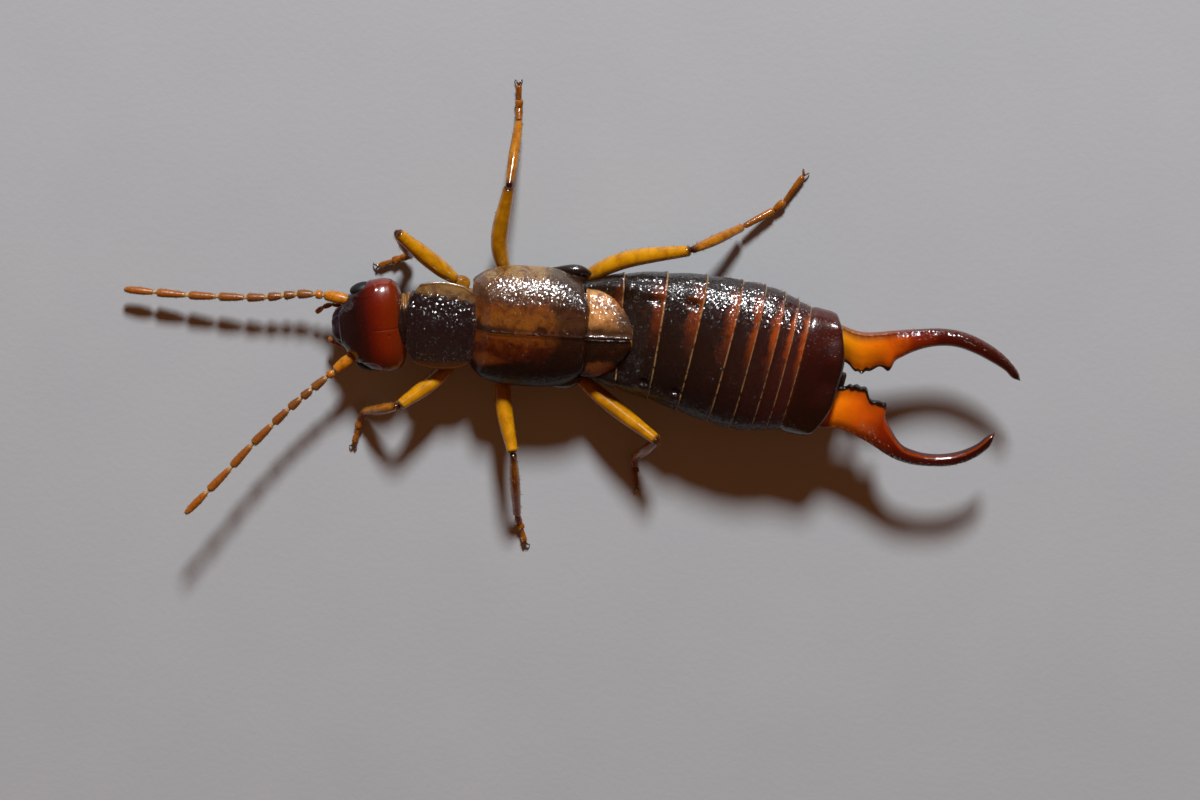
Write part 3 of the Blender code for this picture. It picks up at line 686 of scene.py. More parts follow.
# forward of the centre, share of the half width, height above and below the centre
HEAD_STATIONS = np.array([
    (-0.735, 0.12, 0.04, 0.06), (-0.725, 0.40, 0.15, 0.20), (-0.70, 0.60, 0.25, 0.30),
    (-0.64, 0.80, 0.36, 0.37), (-0.52, 0.94, 0.455, 0.42), (-0.34, 1.00, 0.525, 0.46),
    (-0.08, 1.00, 0.565, 0.46), (0.18, 0.95, 0.54, 0.44), (0.42, 0.84, 0.45, 0.40),
    (0.60, 0.70, 0.35, 0.34), (0.74, 0.55, 0.25, 0.28), (0.84, 0.42, 0.175, 0.23),
    (0.91, 0.30, 0.115, 0.17), (0.94, 0.16, 0.05, 0.09),
])


def head_relief(left, forward, up):
    """Height of the head's own surface features, out along its normal."""
    top = smooth(0.0, 0.15, up)
    off = np.abs(left)
    seam = bump(left, 0.0, 0.013) * smooth(0.10, -0.02, forward)
    arm = bump(off - 0.95 * (forward - 0.04), 0.0, 0.020) * smooth(0.04, 0.12, forward)
    arm = arm * smooth(0.55, 0.40, forward)
    temples = bump(off, 0.62, 0.34) * bump(forward, -0.34, 0.30)
    nape = bump(left, 0.0, 0.30) * smooth(-0.42, -0.72, forward)
    frons = bump(off, 0.26, 0.17) * bump(forward, 0.50, 0.15)
    from_socket = np.hypot(off - 0.66, forward - 0.62)
    socket = bump(from_socket, 0.15, 0.035) - 1.2 * bump(from_socket, 0.0, 0.10)
    from_eye = np.hypot((off - 1.02) / 0.8, (forward - 0.29) / 1.6)
    orbit = bump(from_eye, 0.23, 0.028)
    from_dimple = np.hypot(left - 0.155, forward + 0.335)
    dimple = 0.6 * bump(from_dimple, 0.075, 0.022) - bump(from_dimple, 0.0, 0.050)
    return (
        top * (
            -0.012 * seam - 0.005 * arm + 0.020 * temples - 0.030 * nape - 0.022 * frons
            + 0.012 * dimple
        )
        + 0.030 * socket + 0.010 * orbit
    )


def plant(beds, kind, grid, facing, share=1.0):
    """Notes a patch of skin on which bristles of this kind grow."""
    count, length = HAIRS[kind]
    beds.append((grid, facing, int(count * share), length))


def make_head(materials):
    """The capsule, with its sutures, dimple, frons and the rims round eyes and antennae."""
    rows, columns = ((170, 340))
    reach = HEAD_STATIONS[0, 0] + np.ptp(HEAD_STATIONS[:, 0]) * eased(rows)
    width, rise, drop = spline(HEAD_STATIONS[:, 0], HEAD_STATIONS[:, 1:], reach).T
    grid = sections(HEAD.at(0, reach, 0), HEAD.left, UP, width * HEAD_HALF_WIDTH, rise, drop,
                    ring_angles(columns, BODY_POWER), BODY_POWER)
    local = grid - HEAD_CENTRE
    left, forward, up = local @ HEAD.left, local @ HEAD.forward, local[..., 2]
    grid = grid + normals(grid, True) * head_relief(left, forward, up)[..., None]
    capsule = Shape("head_capsule")
    capsule.tube(grid, along=forward, across=left, shade=up)
    capsule.finish([materials["head"]], "head_cuticle", ["head"])


def make_eyes(materials):
    """Oval eyes whose facets stand out as low domes."""
    rows, columns = ((110, 150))
    golden_angle = math.pi * (3 - math.sqrt(5))
    turn = golden_angle * np.arange(EYE_FACETS)
    level = 1 - 2 * (np.arange(EYE_FACETS) + 0.5) / EYE_FACETS
    ring = np.sqrt(1 - level ** 2)
    seeds = np.stack([ring * np.cos(turn), ring * np.sin(turn), level], 1)
    tilt = np.pi * np.linspace(0.004, 0.996, rows)[:, None]
    spin = full_turn(columns)[None, :]
    ball = points_of(np.sin(tilt) * np.cos(spin), np.sin(tilt) * np.sin(spin), np.cos(tilt))
    nearest = np.concatenate([(1 - row @ seeds.T).min(1)[None] for row in ball])
    dome = 1 - np.clip(nearest / nearest.max(), 0, 1)
    for sign in (LEFT, RIGHT):
        stand = Stand(HEAD.at(sign * EYE_PLACE[0], EYE_PLACE[1], EYE_PLACE[2]),
                      HEAD_YAW + sign * EYE_TURN)
        local = ball * EYE_SIZE * (1 + EYE_FACET_HEIGHT * (dome[..., None] - 1))
        eye = Shape("eye_dome_" + SIDE_NAMES[sign])
        eye.tube(stand.at(local[..., 0], local[..., 1], local[..., 2]), shade=dome)
        eye.finish([materials["eye"]], "eye", ["eye_" + SIDE_NAMES[sign]], crease=70)


def curved_piece(
    shape, stops, half_widths, half_heights, rows, columns, finish=0,
    start=0.08, end=0.08, shade=0.0,
):
    """A closed tube through the stops, its half widths given at even shares of its length."""
    shares = eased(rows)
    knots = np.linspace(0, 1, len(half_widths))
    close = rounded(shares, start, end)
    wide = spline(knots, half_widths, shares) * close
    high = spline(knots, half_heights, shares) * close
    grid = limb_grid(path_at(stops, shares), wide, high, columns)
    shape.tube(grid, finish, along=shares[:, None], shade=shade)
    return grid


def make_mouth(materials):
    """Upper lip, jaws and the two pairs of palps under the front of the head."""
    rows, columns = 48, 90
    reach = np.linspace(LABRUM_ROOT, LABRUM_TIP, rows)
    share = np.linspace(0, 1, rows)
    close = rounded(share, 0.10, 0.50)
    wide = LABRUM_HALF_WIDTH * (1.10 - 0.10 * share) * (0.35 + 0.65 * close)
    high = LABRUM_HALF_HEIGHT * close * (1 - 0.30 * share)
    grid = sections(HEAD.at(0, reach, 0.03 - 0.10 * share), HEAD.left, UP, wide, high, high,
                    ring_angles(columns, CASE_POWER), CASE_POWER)
    off = (grid - HEAD_CENTRE) @ HEAD.left
    notch = 0.03 * bump(off, 0, 0.10) * smooth(0.6, 1.0, share)[:, None]
    lip = Shape("labrum")
    lip.tube(grid - HEAD.forward * notch[..., None], shade=off)
    lip.finish([materials["lip"]], "dark_cuticle", ["mouthparts"])
    jaws = Shape("jaws")
    palps = Shape("palps")
    for sign in (LEFT, RIGHT):
        jaw, long_palp, short_palp = [
            np.array([HEAD.at(sign * off, ahead, up) for off, ahead, up in stops])
            for stops in (JAW_STOPS, LONG_PALP_STOPS[sign], SHORT_PALP_STOPS)
        ]
        curved_piece(jaws, jaw, JAW_WIDTHS, JAW_HEIGHTS, 30, 24)
        for stops, radius, pieces in (
            (long_palp, LONG_PALP_RADIUS, LONG_PALP_PIECES),
            (short_palp, SHORT_PALP_RADIUS, SHORT_PALP_PIECES),
        ):
            widths = radius * PALP_PROFILE
            for k in range(pieces):
                spread = np.linspace(k / pieces, (k + 0.97) / pieces, 6)
                curved_piece(palps, path_at(stops, spread), widths, widths, 18, 18,
                             shade=(k + 1) / pieces)
    jaws.finish([materials["lip"]], "dark_cuticle")
    palps.finish([materials["antenna"]], "antenna")


def make_neck(materials):
    """The folded skin between the head and the pronotum, darker along its middle."""
    rows, columns = 80, 110
    share = np.linspace(0, 1, rows)
    path = spline([0, 1], [HEAD.at(0, -0.45, 0.0), NECK_REAR], share)
    folds = 1 + 0.035 * np.sin(2 * math.pi * NECK_FOLDS * share)[:, None]
    folds = folds * (1 + 0.02 * np.sin(full_turn(columns) * 9)[None, :])
    around = limb_grid(path, 0.70 + 0.12 * share, 0.40 + 0.05 * share, columns) - path[:, None]
    around = around * folds[..., None]
    neck = Shape("neck")
    neck.tube(path[:, None] + around, shade=np.abs(around[..., 0]))
    neck.finish([materials["membrane"]], "amber_leg")


def make_antennae(materials, beds):
    """Ten pieces each, a little wider towards the far end, with pale joints between."""
    total = sum(ANTENNA_PIECES)
    last = len(ANTENNA_PIECES) - 1
    kinds = ["root", "second", *["middle"] * (last - 2), "tip"]
    for sign in (LEFT, RIGHT):
        chain = Shape("antenna_chain_" + SIDE_NAMES[sign])
        stops = ANTENNA_STOPS[sign]
        reach = 0.0
        for number, (length, kind) in enumerate(zip(ANTENNA_PIECES, kinds)):
            joint = min(0.10 * length + 0.015, 0.06)
            low, high = (reach + joint) / total, (reach + length) / total
            reach += length
            points = path_at(stops, np.linspace(low, high, 7))
            size = ANTENNA_RADIUS * (1 - 0.10 * number / last)
            widths = size * np.array(ANTENNA_PROFILES[kind])
            grid = curved_piece(chain, points, widths, widths, 40, 28,
                                start=0.05, end=0.10, shade=number / last)
            plant(beds, "antenna", grid, normals(grid, True), length)
            near = max(low - 2.2 * joint / total, 0)
            skin = path_at(stops, np.linspace(near, low + 0.6 * joint / total, 4))
            thin = size * np.array(JOINT_PROFILE)
            curved_piece(chain, skin, thin, thin, 10, 16, 1)
        chain.finish([materials["antenna"], materials["joint"]], "antenna",
                     ["antenna_" + SIDE_NAMES[sign]])


def pronotum_rear(off):
    share = np.minimum(np.abs(off) / PRONOTUM_HALF_WIDTH, 1)
    return PRONOTUM_REAR - 0.30 * share ** 2.5


def make_pronotum(materials):
    """The neck shield: a swollen disc that runs out into thin, clear side margins."""
    rows, columns = ((150, 220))
    v = eased(rows)[:, None]
    across = np.sin(np.linspace(-math.pi / 2, math.pi / 2, columns))[None, :]
    width = PRONOTUM_HALF_WIDTH * (0.84 + 0.16 * np.sin(math.pi * np.minimum(v * 0.85 + 0.07, 1)))
    corner = 1 - 0.17 * (1 - smooth(0.0, 0.14, v)) - 0.13 * smooth(0.84, 1.0, v)
    off = across * width * corner
    front = PRONOTUM_FRONT - 0.16 + 0.16 * np.abs(across) ** 4
    y = front + (pronotum_rear(off) - front) * v
    share = np.abs(off) / PRONOTUM_HALF_WIDTH
    disc_edge = np.where(off < 0, 0.80 - 0.20 * v, 0.86 - 0.06 * v)
    disc = smooth(disc_edge + 0.15, disc_edge - 0.17, share)
    dome = np.clip(1 - share ** 2, 0, 1)
    ends = smooth(-0.14, 0.34, v) * smooth(1.25, 0.62, v)
    height = (
        1.31 + 0.10 * share ** 3 + 0.385 * dome * (0.55 + 0.45 * ends)
        + 0.030 * bump(v, 0.045, 0.026) * smooth(1.0, 0.6, share)
        + 0.010 * bump(np.abs(across), 0.985, 0.030)
        - 0.006 * bump(off, 0, 0.030) * smooth(0.05, 0.2, v) * smooth(0.75, 0.5, v)
        - 0.022 * bump(v, 0.135, 0.045) * dome
        - 0.020 * bump(np.abs(off), 0.42, 0.16) * bump(v, 0.40, 0.15)
        + 0.016 * bump(np.abs(off), 0.50, 0.20) * bump(v, 0.68, 0.15)
    )
    fall = 0.16 * (1 - smooth(-0.01, 0.034, v)) + 0.05 * smooth(0.95, 1.0, v)
    top = points_of(PRONOTUM_CENTRE_X + off, y, height - fall)
    thick = 0.05 + 0.16 * dome
    shield = Shape("pronotum_shield")
    shield.plate(top, top - UP * thick[..., None], along=v, across=off, shade=disc)
    shield.finish([materials["pronotum"]], "pronotum", ["pronotum"])


def make_thorax(materials):
    """The three rings under the wings, with the plates and a lump on their flanks."""
    rows, columns = ((200, 140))
    y = np.linspace(THORAX_WIDTHS[0, 0], THORAX_WIDTHS[-1, 0], rows)
    half = spline(*THORAX_WIDTHS.T, y)
    depth = spline(*THORAX_DEPTHS.T, y)
    centres = points_of(PRONOTUM_CENTRE_X, y, THORAX_MIDDLE)
    grid = sections(centres, np.array([1.0, 0, 0]), UP, half, THORAX_RISE, depth,
                    ring_angles(columns, THORAX_POWER), THORAX_POWER)
    off = np.abs(grid[..., 0] - PRONOTUM_CENTRE_X)
    below = smooth(0.85, 0.60, grid[..., 2])
    grooves = sum(bump(grid[..., 1], at, 0.035) for at in THORAX_GROOVES)
    flanks = bump(off, 0.62, 0.05)
    swell = -0.040 * grooves - 0.035 * flanks * below
    trunk = Shape("thorax_trunk")
    trunk.tube(grid + normals(grid, True) * swell[..., None], across=off,
               shade=np.clip(grooves + flanks, 0, 1))
    trunk.finish([materials["thorax"]], "amber_leg", ["thorax"])
    plates = Shape("flank_plates")
    for sign in (LEFT, RIGHT):
        for front, rear, beside, height in FLANK_PLATES:
            stops = [(PRONOTUM_CENTRE_X + sign * (beside - 0.10), front, height - 0.05),
                     (PRONOTUM_CENTRE_X + sign * beside, (front + rear) / 2, height),
                     (PRONOTUM_CENTRE_X + sign * (beside - 0.02), rear, height - 0.04)]
            curved_piece(plates, stops, FLANK_WIDTHS, FLANK_HEIGHTS, 60, 40,
                         start=0.25, end=0.25)
    plates.finish([materials["flank"]], "dark_cuticle")
    lump = Shape("hind_flank_lump")
    curved_piece(lump, FLANK_LUMP_STOPS, FLANK_LUMP_WIDTHS, FLANK_LUMP_HEIGHTS, 50, 30,
                 start=0.3, end=0.25)
    lump.finish([materials["flank"]], "dark_cuticle")


def case_half_width(v):
    shoulder = 0.78 + 0.22 * np.sin(math.pi / 2 * np.minimum(v / 0.42, 1))
    shoulder = shoulder - 0.13 * (1 - smooth(-0.04, 0.16, v))
    rear = 1 - 0.20 * np.maximum((v - 0.55) / 0.45, 0) ** 3
    return CASE_HALF_WIDTH * shoulder * rear


def make_wing_cases(materials):
    """Leathery fore wings, arched over the back, with a rolled outer edge and a fine seam."""
    rows, columns = ((230, 150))
    v = np.linspace(0, 1, rows)[:, None]
    share = np.linspace(0, 1, columns)[None, :]
    angle = outline_angles(1 - share, CASE_POWER, 0.0, math.pi / 2)
    across, height = on_square(angle, CASE_POWER)
    seam = 0.006
    x = seam + across * (case_half_width(v) - seam)
    front = pronotum_rear(x) - 0.13 + 0.12 * across ** 5
    rear = CASE_REAR - 0.02 - 0.20 * smooth(0.55, 1.0, across) - 0.06 * bump(across, 0, 0.10)
    y = front + (rear - front) * v
    edge = CASE_EDGE_HEIGHT - 0.10
    crown = CASE_TOP - 0.12 * (1 - np.minimum(v * 3, 1)) ** 2
    dents = 0.006 * np.sin(v * 15 + across * 5) * np.sin(across * 9 - v * 5)
    z = (
        edge + height * (crown - edge)
        - 0.30 * (1 - smooth(-0.05, 0.16, v)) - 0.10 * smooth(0.95, 1.0, v) ** 2
        + 0.008 * bump(x, 0.02, 0.020) - 0.006 * bump(x, 0.08, 0.035)
        + 0.010 * bump(across, 0.42 + 0.10 * v, 0.06) * smooth(0.05, 0.25, v)
        + 0.030 * bump(across, 0.55, 0.28) * bump(v, 0.30, 0.30)
        + dents * smooth(0, 0.2, share)
    )
    rim = 0.024 * bump(share, 0.955, 0.030)
    thick = 0.045 + 0.02 * bump(share, 1.0, 0.06)
    for sign in (LEFT, RIGHT):
        grid = points_of(sign * x, y, z)
        grid = grid + normals(grid, False) * rim[..., None]
        under = grid - normals(grid, False) * thick[..., None]
        under[..., 0] = np.where(sign * under[..., 0] < seam, sign * seam, under[..., 0])
        side = SIDE_NAMES[sign]
        case = Shape("wing_case_shell_" + side)
        case.plate(grid, under, along=v, across=x, shade=share)
        case.finish([materials["case_" + side]], "wing_case", ["wing_case_" + side])


def make_wing_tips(materials):
    """The folded hind wings that stick out behind the cases, broadly rounded at the rear."""
    rows, columns = ((120, 90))
    v = eased(rows)[:, None]
    share = eased(columns)[None, :]
    seam = 0.010
    width = WING_TIP_HALF_WIDTH * (1 - 0.30 * v ** 4) * (1 - 0.20 * smooth(0.88, 1.0, v))
    x = seam + share * (width - seam)
    front = CASE_REAR - 0.14
    y = front + (WING_TIP_REAR - front) * v
    y = y - 0.36 * share ** 3 * v - 0.05 * bump(share, 0, 0.10) * v
    edge = round_off(1 - share, 0.12)
    end = round_off(1 - v, 0.12)
    z = (
        WING_TIP_TOP - 0.01 - 0.11 * v - 0.38 * share ** 2
        - 0.11 * (1 - edge) - 0.10 * (1 - end)
        + 0.030 * bump(share, 0.45, 0.30) * bump(v, 0.6, 0.35)
        - 0.014 * bump(share, 0.13, 0.05) + 0.018 * bump(share, 0.035, 0.025)
        - 0.06 * (1 - smooth(0, 0.12, v))
    )
    thick = 0.05 + 0.06 * edge * end
    for sign in (LEFT, RIGHT):
        top = points_of(sign * x, y, z)
        side = SIDE_NAMES[sign]
        tip = Shape("wing_tip_fold_" + side)
        tip.plate(top, top - UP * thick[..., None], along=v, across=x, shade=share)
        tip.finish([materials["tip_" + side]], "wing_tip", ["wing_tip_" + side])


def abdomen_frames(distances):
    """Middle, left and rearward at each distance behind the waist, along the bent body."""
    fine = np.linspace(-0.8, 7.0, 1561)
    turn = ABDOMEN_TURN * smooth(0, ABDOMEN_TURN_LENGTH, fine)
    step = fine[1] - fine[0]
    start = np.argmin(np.abs(fine))
    path = np.cumsum(np.stack([np.sin(turn), np.cos(turn)], 1) * step, axis=0)
    path = path - path[start] + WAIST
    distances = np.asarray(distances, float)
    middle = np.stack([np.interp(distances, fine, path[:, k]) for k in range(2)], 1)
    turned = np.interp(distances, fine, turn)
    nothing = np.zeros(len(distances))
    left = np.stack([np.cos(turned), -np.sin(turned), nothing], 1)
    rearward = np.stack([np.sin(turned), np.cos(turned), nothing], 1)
    return middle, left, rearward


def abdomen_heights(distances):
    share = np.clip(distances / ABDOMEN_LENGTH, 0, 1)
    middle = 1.12 + 0.24 * np.minimum(share * 1.2, 1)
    rise = 0.64 + 0.22 * np.sin(math.pi * np.minimum(share * 0.75 + 0.05, 1))
    drop = 0.60 + 0.12 * np.sin(math.pi * share)
    return middle, rise, drop


def wing_hollow(distances, off):
    """How far the front of the abdomen sinks under the folded wings."""
    return WING_HOLLOW * smooth(1.30, 0.75, distances) * smooth(1.30, 0.85, np.abs(off))


def abdomen_rings(distances, half_widths, swell, angles, bulge=None):
    """Rings of the body at these distances, swollen outwards, for the given angles."""
    distances = np.asarray(distances, float)
    place, left, rearward = abdomen_frames(distances)
    middle, rise, drop = abdomen_heights(distances)
    centres = np.concatenate([place, middle[:, None]], 1)
    rings = sections(
        centres, left, UP, half_widths + swell, rise + swell, drop + swell, angles, BODY_POWER
    )
    off = ((rings - centres[:, None]) * left[:, None]).sum(-1)
    above = smooth(0.0, 0.4, rings[..., 2] - centres[:, None, 2])
    rings[..., 2] -= above * wing_hollow(distances[:, None], off)
    if bulge is not None:
        off = off / half_widths[:, None]
        back = bulge[:, None] * (1 - np.minimum(np.abs(off), 1) ** 2.8)
        rings = rings + rearward[:, None] * back[..., None]
    return rings


def abdomen_width(distances):
    ends = np.concatenate([[0], np.cumsum(TERGITE_LENGTHS)])
    widths = spline(ends, [WAIST_HALF_WIDTH, *TERGITE_HALF_WIDTHS], distances)
    return widths + 0.25 * np.minimum(distances, 0)


def make_abdomen(materials, beds):
    """Overlapping plates above and below, each standing a little proud of the next one."""
    rows, columns = ((34, 230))
    inside = Shape("abdomen_core")
    reach = np.linspace(-ABDOMEN_HIDDEN, ABDOMEN_LENGTH + 0.1, 60)
    inside.tube(abdomen_rings(reach, abdomen_width(reach), -0.09, ring_angles(80, BODY_POWER)))
    inside.finish([materials["membrane"]], "abdomen_cuticle")
    upper = outline_angles(np.linspace(0, 1, columns), BODY_POWER, *BACK_ARC)
    lower = outline_angles(np.linspace(0, 1, columns // 2), BODY_POWER, *BELLY_ARC)
    off = np.broadcast_to(np.cos(upper), (rows, columns))
    share = np.concatenate([np.linspace(0, 0.80, rows - 12), np.linspace(0.82, 1, 12)])
    back = Shape("back_plates")
    belly = Shape("belly_plates")
    plates = len(TERGITE_LENGTHS)
    start = 0.0
    for number, length in enumerate(TERGITE_LENGTHS):
        end = start + length
        low = start - (ABDOMEN_HIDDEN if number == 0 else 0.16)
        reach = low + (end + 0.02 - low) * share
        own = (reach - start) / length
        swell = -0.020 + 0.036 * smooth(-0.1, 0.60, own) + 0.016 * smooth(0.90, 0.97, own)
        swell = swell - 0.022 * smooth(0.975, 1.03, own) ** 2
        rings = abdomen_rings(reach, abdomen_width(reach), swell, upper)
        facing = normals(rings, False)
        own = own[:, None]
        features = -0.020 * bump(np.abs(off), 0.90, 0.04) * smooth(0.1, 0.5, own)
        if number in KNOBBED_PLATES:
            knob = bump(np.abs(off), 0.71, 0.06) * bump(own, 0.76, 0.20)
            pit = bump(np.abs(off), 0.62, 0.06) * bump(own, 0.80, 0.17)
            features = features + (0.075 * knob - 0.070 * pit) * (np.sin(upper) > 0)
        rings = rings + facing * features[..., None]
        if number > max(KNOBBED_PLATES):
            for edge in (slice(0, columns // 6), slice(-(columns // 6), None)):
                plant(beds, "abdomen", rings[:, edge], facing[:, edge])
        back.plate(rings, rings - facing * PLATE_THICKNESS, along=own, across=off,
                   shade=(number + np.clip(own, 0, 1)) / plates)
        under = abdomen_rings(reach[::2], abdomen_width(reach[::2]), swell[::2], lower)
        belly.plate(under, under + normals(under, False) * PLATE_THICKNESS, along=own[::2],
                    across=np.cos(lower), shade=(number + own[::2]) / plates)
        start = end
    back.finish([materials["abdomen"]], "abdomen_cuticle", ["abdomen"])
    belly.finish([materials["abdomen"]], "abdomen_cuticle")
    make_last_plate(materials)


def make_last_plate(materials):
    """The broad squared plate that carries the forceps, with its low lumps and hollows."""
    rows, columns = ((110, 260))
    start = ABDOMEN_LENGTH - 0.10
    share = eased(rows)
    reach = start + (TAIL_DISTANCE - start) * share
    half = spline(*LAST_PLATE_WIDTHS.T, share)
    bulge = spline(*LAST_PLATE_BULGES.T, share)
    swell = -0.012 + 0.02 * smooth(0.05, 0.3, share) - 0.08 * smooth(0.92, 1.0, share) ** 2
    swell = swell - 0.10 * smooth(0.985, 1.0, share) ** 2
    angles = ring_angles(columns, BODY_POWER)
    grid = abdomen_rings(reach, half, swell, angles, bulge)
    middle, left, _ = abdomen_frames(reach)
    off = ((grid[..., :2] - middle[:, None]) * left[:, None, :2]).sum(-1)
    above = smooth(0.1, 0.5, np.sin(angles))[None, :]
    lengthwise = share[:, None]
    lumps = (
        0.040 * bump(np.abs(off), 0.62, 0.20) * bump(lengthwise, 0.80, 0.16)
        - 0.055 * bump(off, 0, 0.26) * bump(lengthwise, 0.80, 0.24)
        - 0.035 * bump(np.abs(off), 1.12, 0.18) * bump(lengthwise, 0.74, 0.20)
        + 0.030 * bump(np.abs(off), 1.40, 0.12) * bump(lengthwise, 0.88, 0.12)
    )
    grid = grid + normals(grid, True) * (lumps * above)[..., None]
    plate = Shape("last_plate")
    plate.tube(grid, along=lengthwise, across=off, shade=above)
    plate.finish([materials["last_plate"]], "abdomen_cuticle", ["last_tergite"])


def tail_stand():
    """Where the forceps start, with the tail's left and rearward."""
    place, left, rearward = abdomen_frames([TAIL_DISTANCE])
    return np.array([*place[0], 0.0]), left[0], rearward[0]


def make_pygidium(materials):
    """The small scale between the roots of the forceps."""
    origin, left, rearward = tail_stand()
    share = eased(36)
    reach = LAST_PLATE_BULGES[-1, 1] - 0.10 + PYGIDIUM_LENGTH * share
    path = origin + UP * PYGIDIUM_HEIGHT + rearward * reach[:, None]
    close = rounded(share, 0.1, 0.14)
    half = PYGIDIUM_HALF_WIDTH * (0.4 + 0.6 * close) * (1 - 0.10 * share)
    scale = Shape("pygidium_scale")
    scale.tube(sections(path, left, UP, half, 0.11 * close, 0.13 * close,
                        ring_angles(48, PYGIDIUM_POWER), PYGIDIUM_POWER))
    scale.finish([materials["flank"]], "dark_cuticle", ["pygidium"])


def make_forceps(materials, beds):
    """Pincers: broad, flat and notched along the inner edge at the root, slender beyond."""
    rows, columns = ((340, 84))
    origin, left, rearward = tail_stand()
    for sign in (LEFT, RIGHT):
        edges = np.array(FORCEPS_EDGES[sign])
        middles = (edges[:, :2] + edges[:, 2:]) / 2
        knots = np.concatenate([[0], np.cumsum(np.hypot(*np.diff(middles, axis=0).T))])
        knots /= knots[-1]
        t = eased(rows)
        outer_off, outer_along, inner_off, inner_along = spline(knots, edges, t).T
        outer = origin + sign * outer_off[:, None] * left + outer_along[:, None] * rearward
        inner = origin + sign * inner_off[:, None] * left + inner_along[:, None] * rearward
        half = np.linalg.norm(outer - inner, axis=1) / 2
        outward = unit(outer - inner)
        height = FORCEPS_HEIGHT - 0.08 * smooth(0.25, 0.0, t)
        centres = (outer + inner) / 2 + UP * height[:, None]
        tooth_at = knots[FORCEPS_TOOTH[sign]]
        root = smooth(tooth_at + 0.03, tooth_at - 0.10, t)
        close = rounded(t, 0.01, 0.03)
        thick = np.minimum(FORCEPS_THICKNESS, half * 1.1) * (1 + 0.10 * root) * close
        angles = full_turn(columns)
        inward = np.clip(-np.cos(angles), 0, 1)[None, :] ** 2
        saw = np.abs(np.sin(t * 62 + 0.8 * np.sin(t * 37))) ** 1.6
        saw = saw * smooth(0.03, 0.08, t) * smooth(tooth_at + 0.02, tooth_at - 0.02, t)
        grid = sections(centres, outward, UP, half * close, thick, thick, angles, 2.0)
        thin = 1 - 0.50 * root[:, None] * inward
        level = centres[:, None, 2]
        grid[..., 2] = level + (grid[..., 2] - level) * thin
        push = (0.045 * saw)[:, None] * inward
        grid = grid - outward[:, None] * push[..., None]
        beads = 1 + 0.35 * np.sin(t * 190)[:, None] * smooth(0.62, 0.45, t)[:, None]
        ridge = bump(angles, RIDGE_ANGLE, 0.18)[None, :] * smooth(0.0, 0.1, t)[:, None]
        ridge = 0.035 * ridge * beads * smooth(0.66, 0.36, t)[:, None]
        glints = bump(angles, GLINTS_ANGLE, 0.30)[None, :] * smooth(0.25, 0.40, t)[:, None]
        ridge = ridge + 0.005 * glints * (np.sin(t * 170) + np.sin(t * 107))[:, None]
        flange = bump(angles, FLANGE_ANGLE, 0.16)[None, :] * root[:, None]
        flange = flange * (0.045 + 0.030 * saw[:, None])
        hollow = 0.045 * bump(angles, HOLLOW_ANGLE, 0.5)[None, :] * root[:, None]
        grid = grid + UP * ((ridge + flange - hollow) * close[:, None])[..., None]
        arm = Shape("pincer_" + SIDE_NAMES[sign])
        ripe = FORCEPS_RIPE[sign] + (1 - FORCEPS_RIPE[sign]) * t[:, None]
        toothed = smooth(tooth_at + 0.05, tooth_at, t)[:, None]
        arm.tube(grid, along=ripe, across=np.cos(angles)[None, :], shade=toothed)
        name = "forceps_" + SIDE_NAMES[sign]
        arm.finish([materials["forceps"]], "forceps", [name])
        shown = (slice(rows // 4, -rows // 5), slice(0, columns // 4))
        plant(beds, "forceps", grid[shown], normals(grid, True)[shown])


def make_legs(materials, beds):
    """Six legs: root, thigh, shin, three foot pieces and two claws each."""
    for (pair, sign), stops in LEG_STOPS.items():
        hip, thigh, knee, ankle, mid_foot, last_foot, toe = [np.array(stop) for stop in stops]
        name = "leg_" + pair + "_" + SIDE_NAMES[sign]
        limb = Shape(name + "_limb")
        root = hip - unit(thigh - hip) * 0.20
        curved_piece(limb, [root, hip, hip + (thigh - hip) * 0.26], COXA_WIDTHS, COXA_HEIGHTS,
                     36, 32, 1, start=0.3, end=0.3)
        femur = [hip + (thigh - hip) * 0.16, thigh, knee]
        grid = curved_piece(limb, femur, FEMUR_WIDTHS, FEMUR_HEIGHTS, 110, 44, 0,
                            start=0.06, end=0.035)
        plant(beds, "femur", grid, normals(grid, True))
        tibia = [knee, (knee + ankle) / 2 + UP * 0.05, ankle]
        grid = curved_piece(limb, tibia, TIBIA_WIDTHS, TIBIA_HEIGHTS, 90, 36, 2,
                            start=0.03, end=0.05)
        plant(beds, "tibia", grid, normals(grid, True))
        ends = (ankle, mid_foot, last_foot, toe)
        for number, widths in enumerate(FOOT_WIDTHS):
            first, second = ends[number:number + 2]
            along = unit(second - first)
            piece = [first + along * 0.012, (first + second) / 2 - UP * 0.004,
                     second + along * 0.02]
            grid = curved_piece(limb, piece, widths, np.array(widths) * FOOT_FLATNESS, 34, 26, 3,
                                start=0.08, end=0.12, shade=number / 2)
            plant(beds, "foot", grid[:, 2:12], normals(grid, True)[:, 2:12])
        limb.finish([materials[k] for k in ("femur", "coxa", "tibia", "tarsus")],
                    "amber_leg", [name])
        ahead = unit(toe - last_foot)
        side = unit(np.cross(ahead, UP))
        claws = Shape(name + "_claws")
        for hand in (LEFT, RIGHT):
            curve = [toe + ahead * reach + side * hand * spread + UP * up
                     for reach, spread, up in CLAW_STOPS]
            curved_piece(claws, curve, CLAW_WIDTHS, CLAW_HEIGHTS, 24, 14, start=0.1, end=0.06)
        claws.finish([materials["claw"]], "amber_leg")


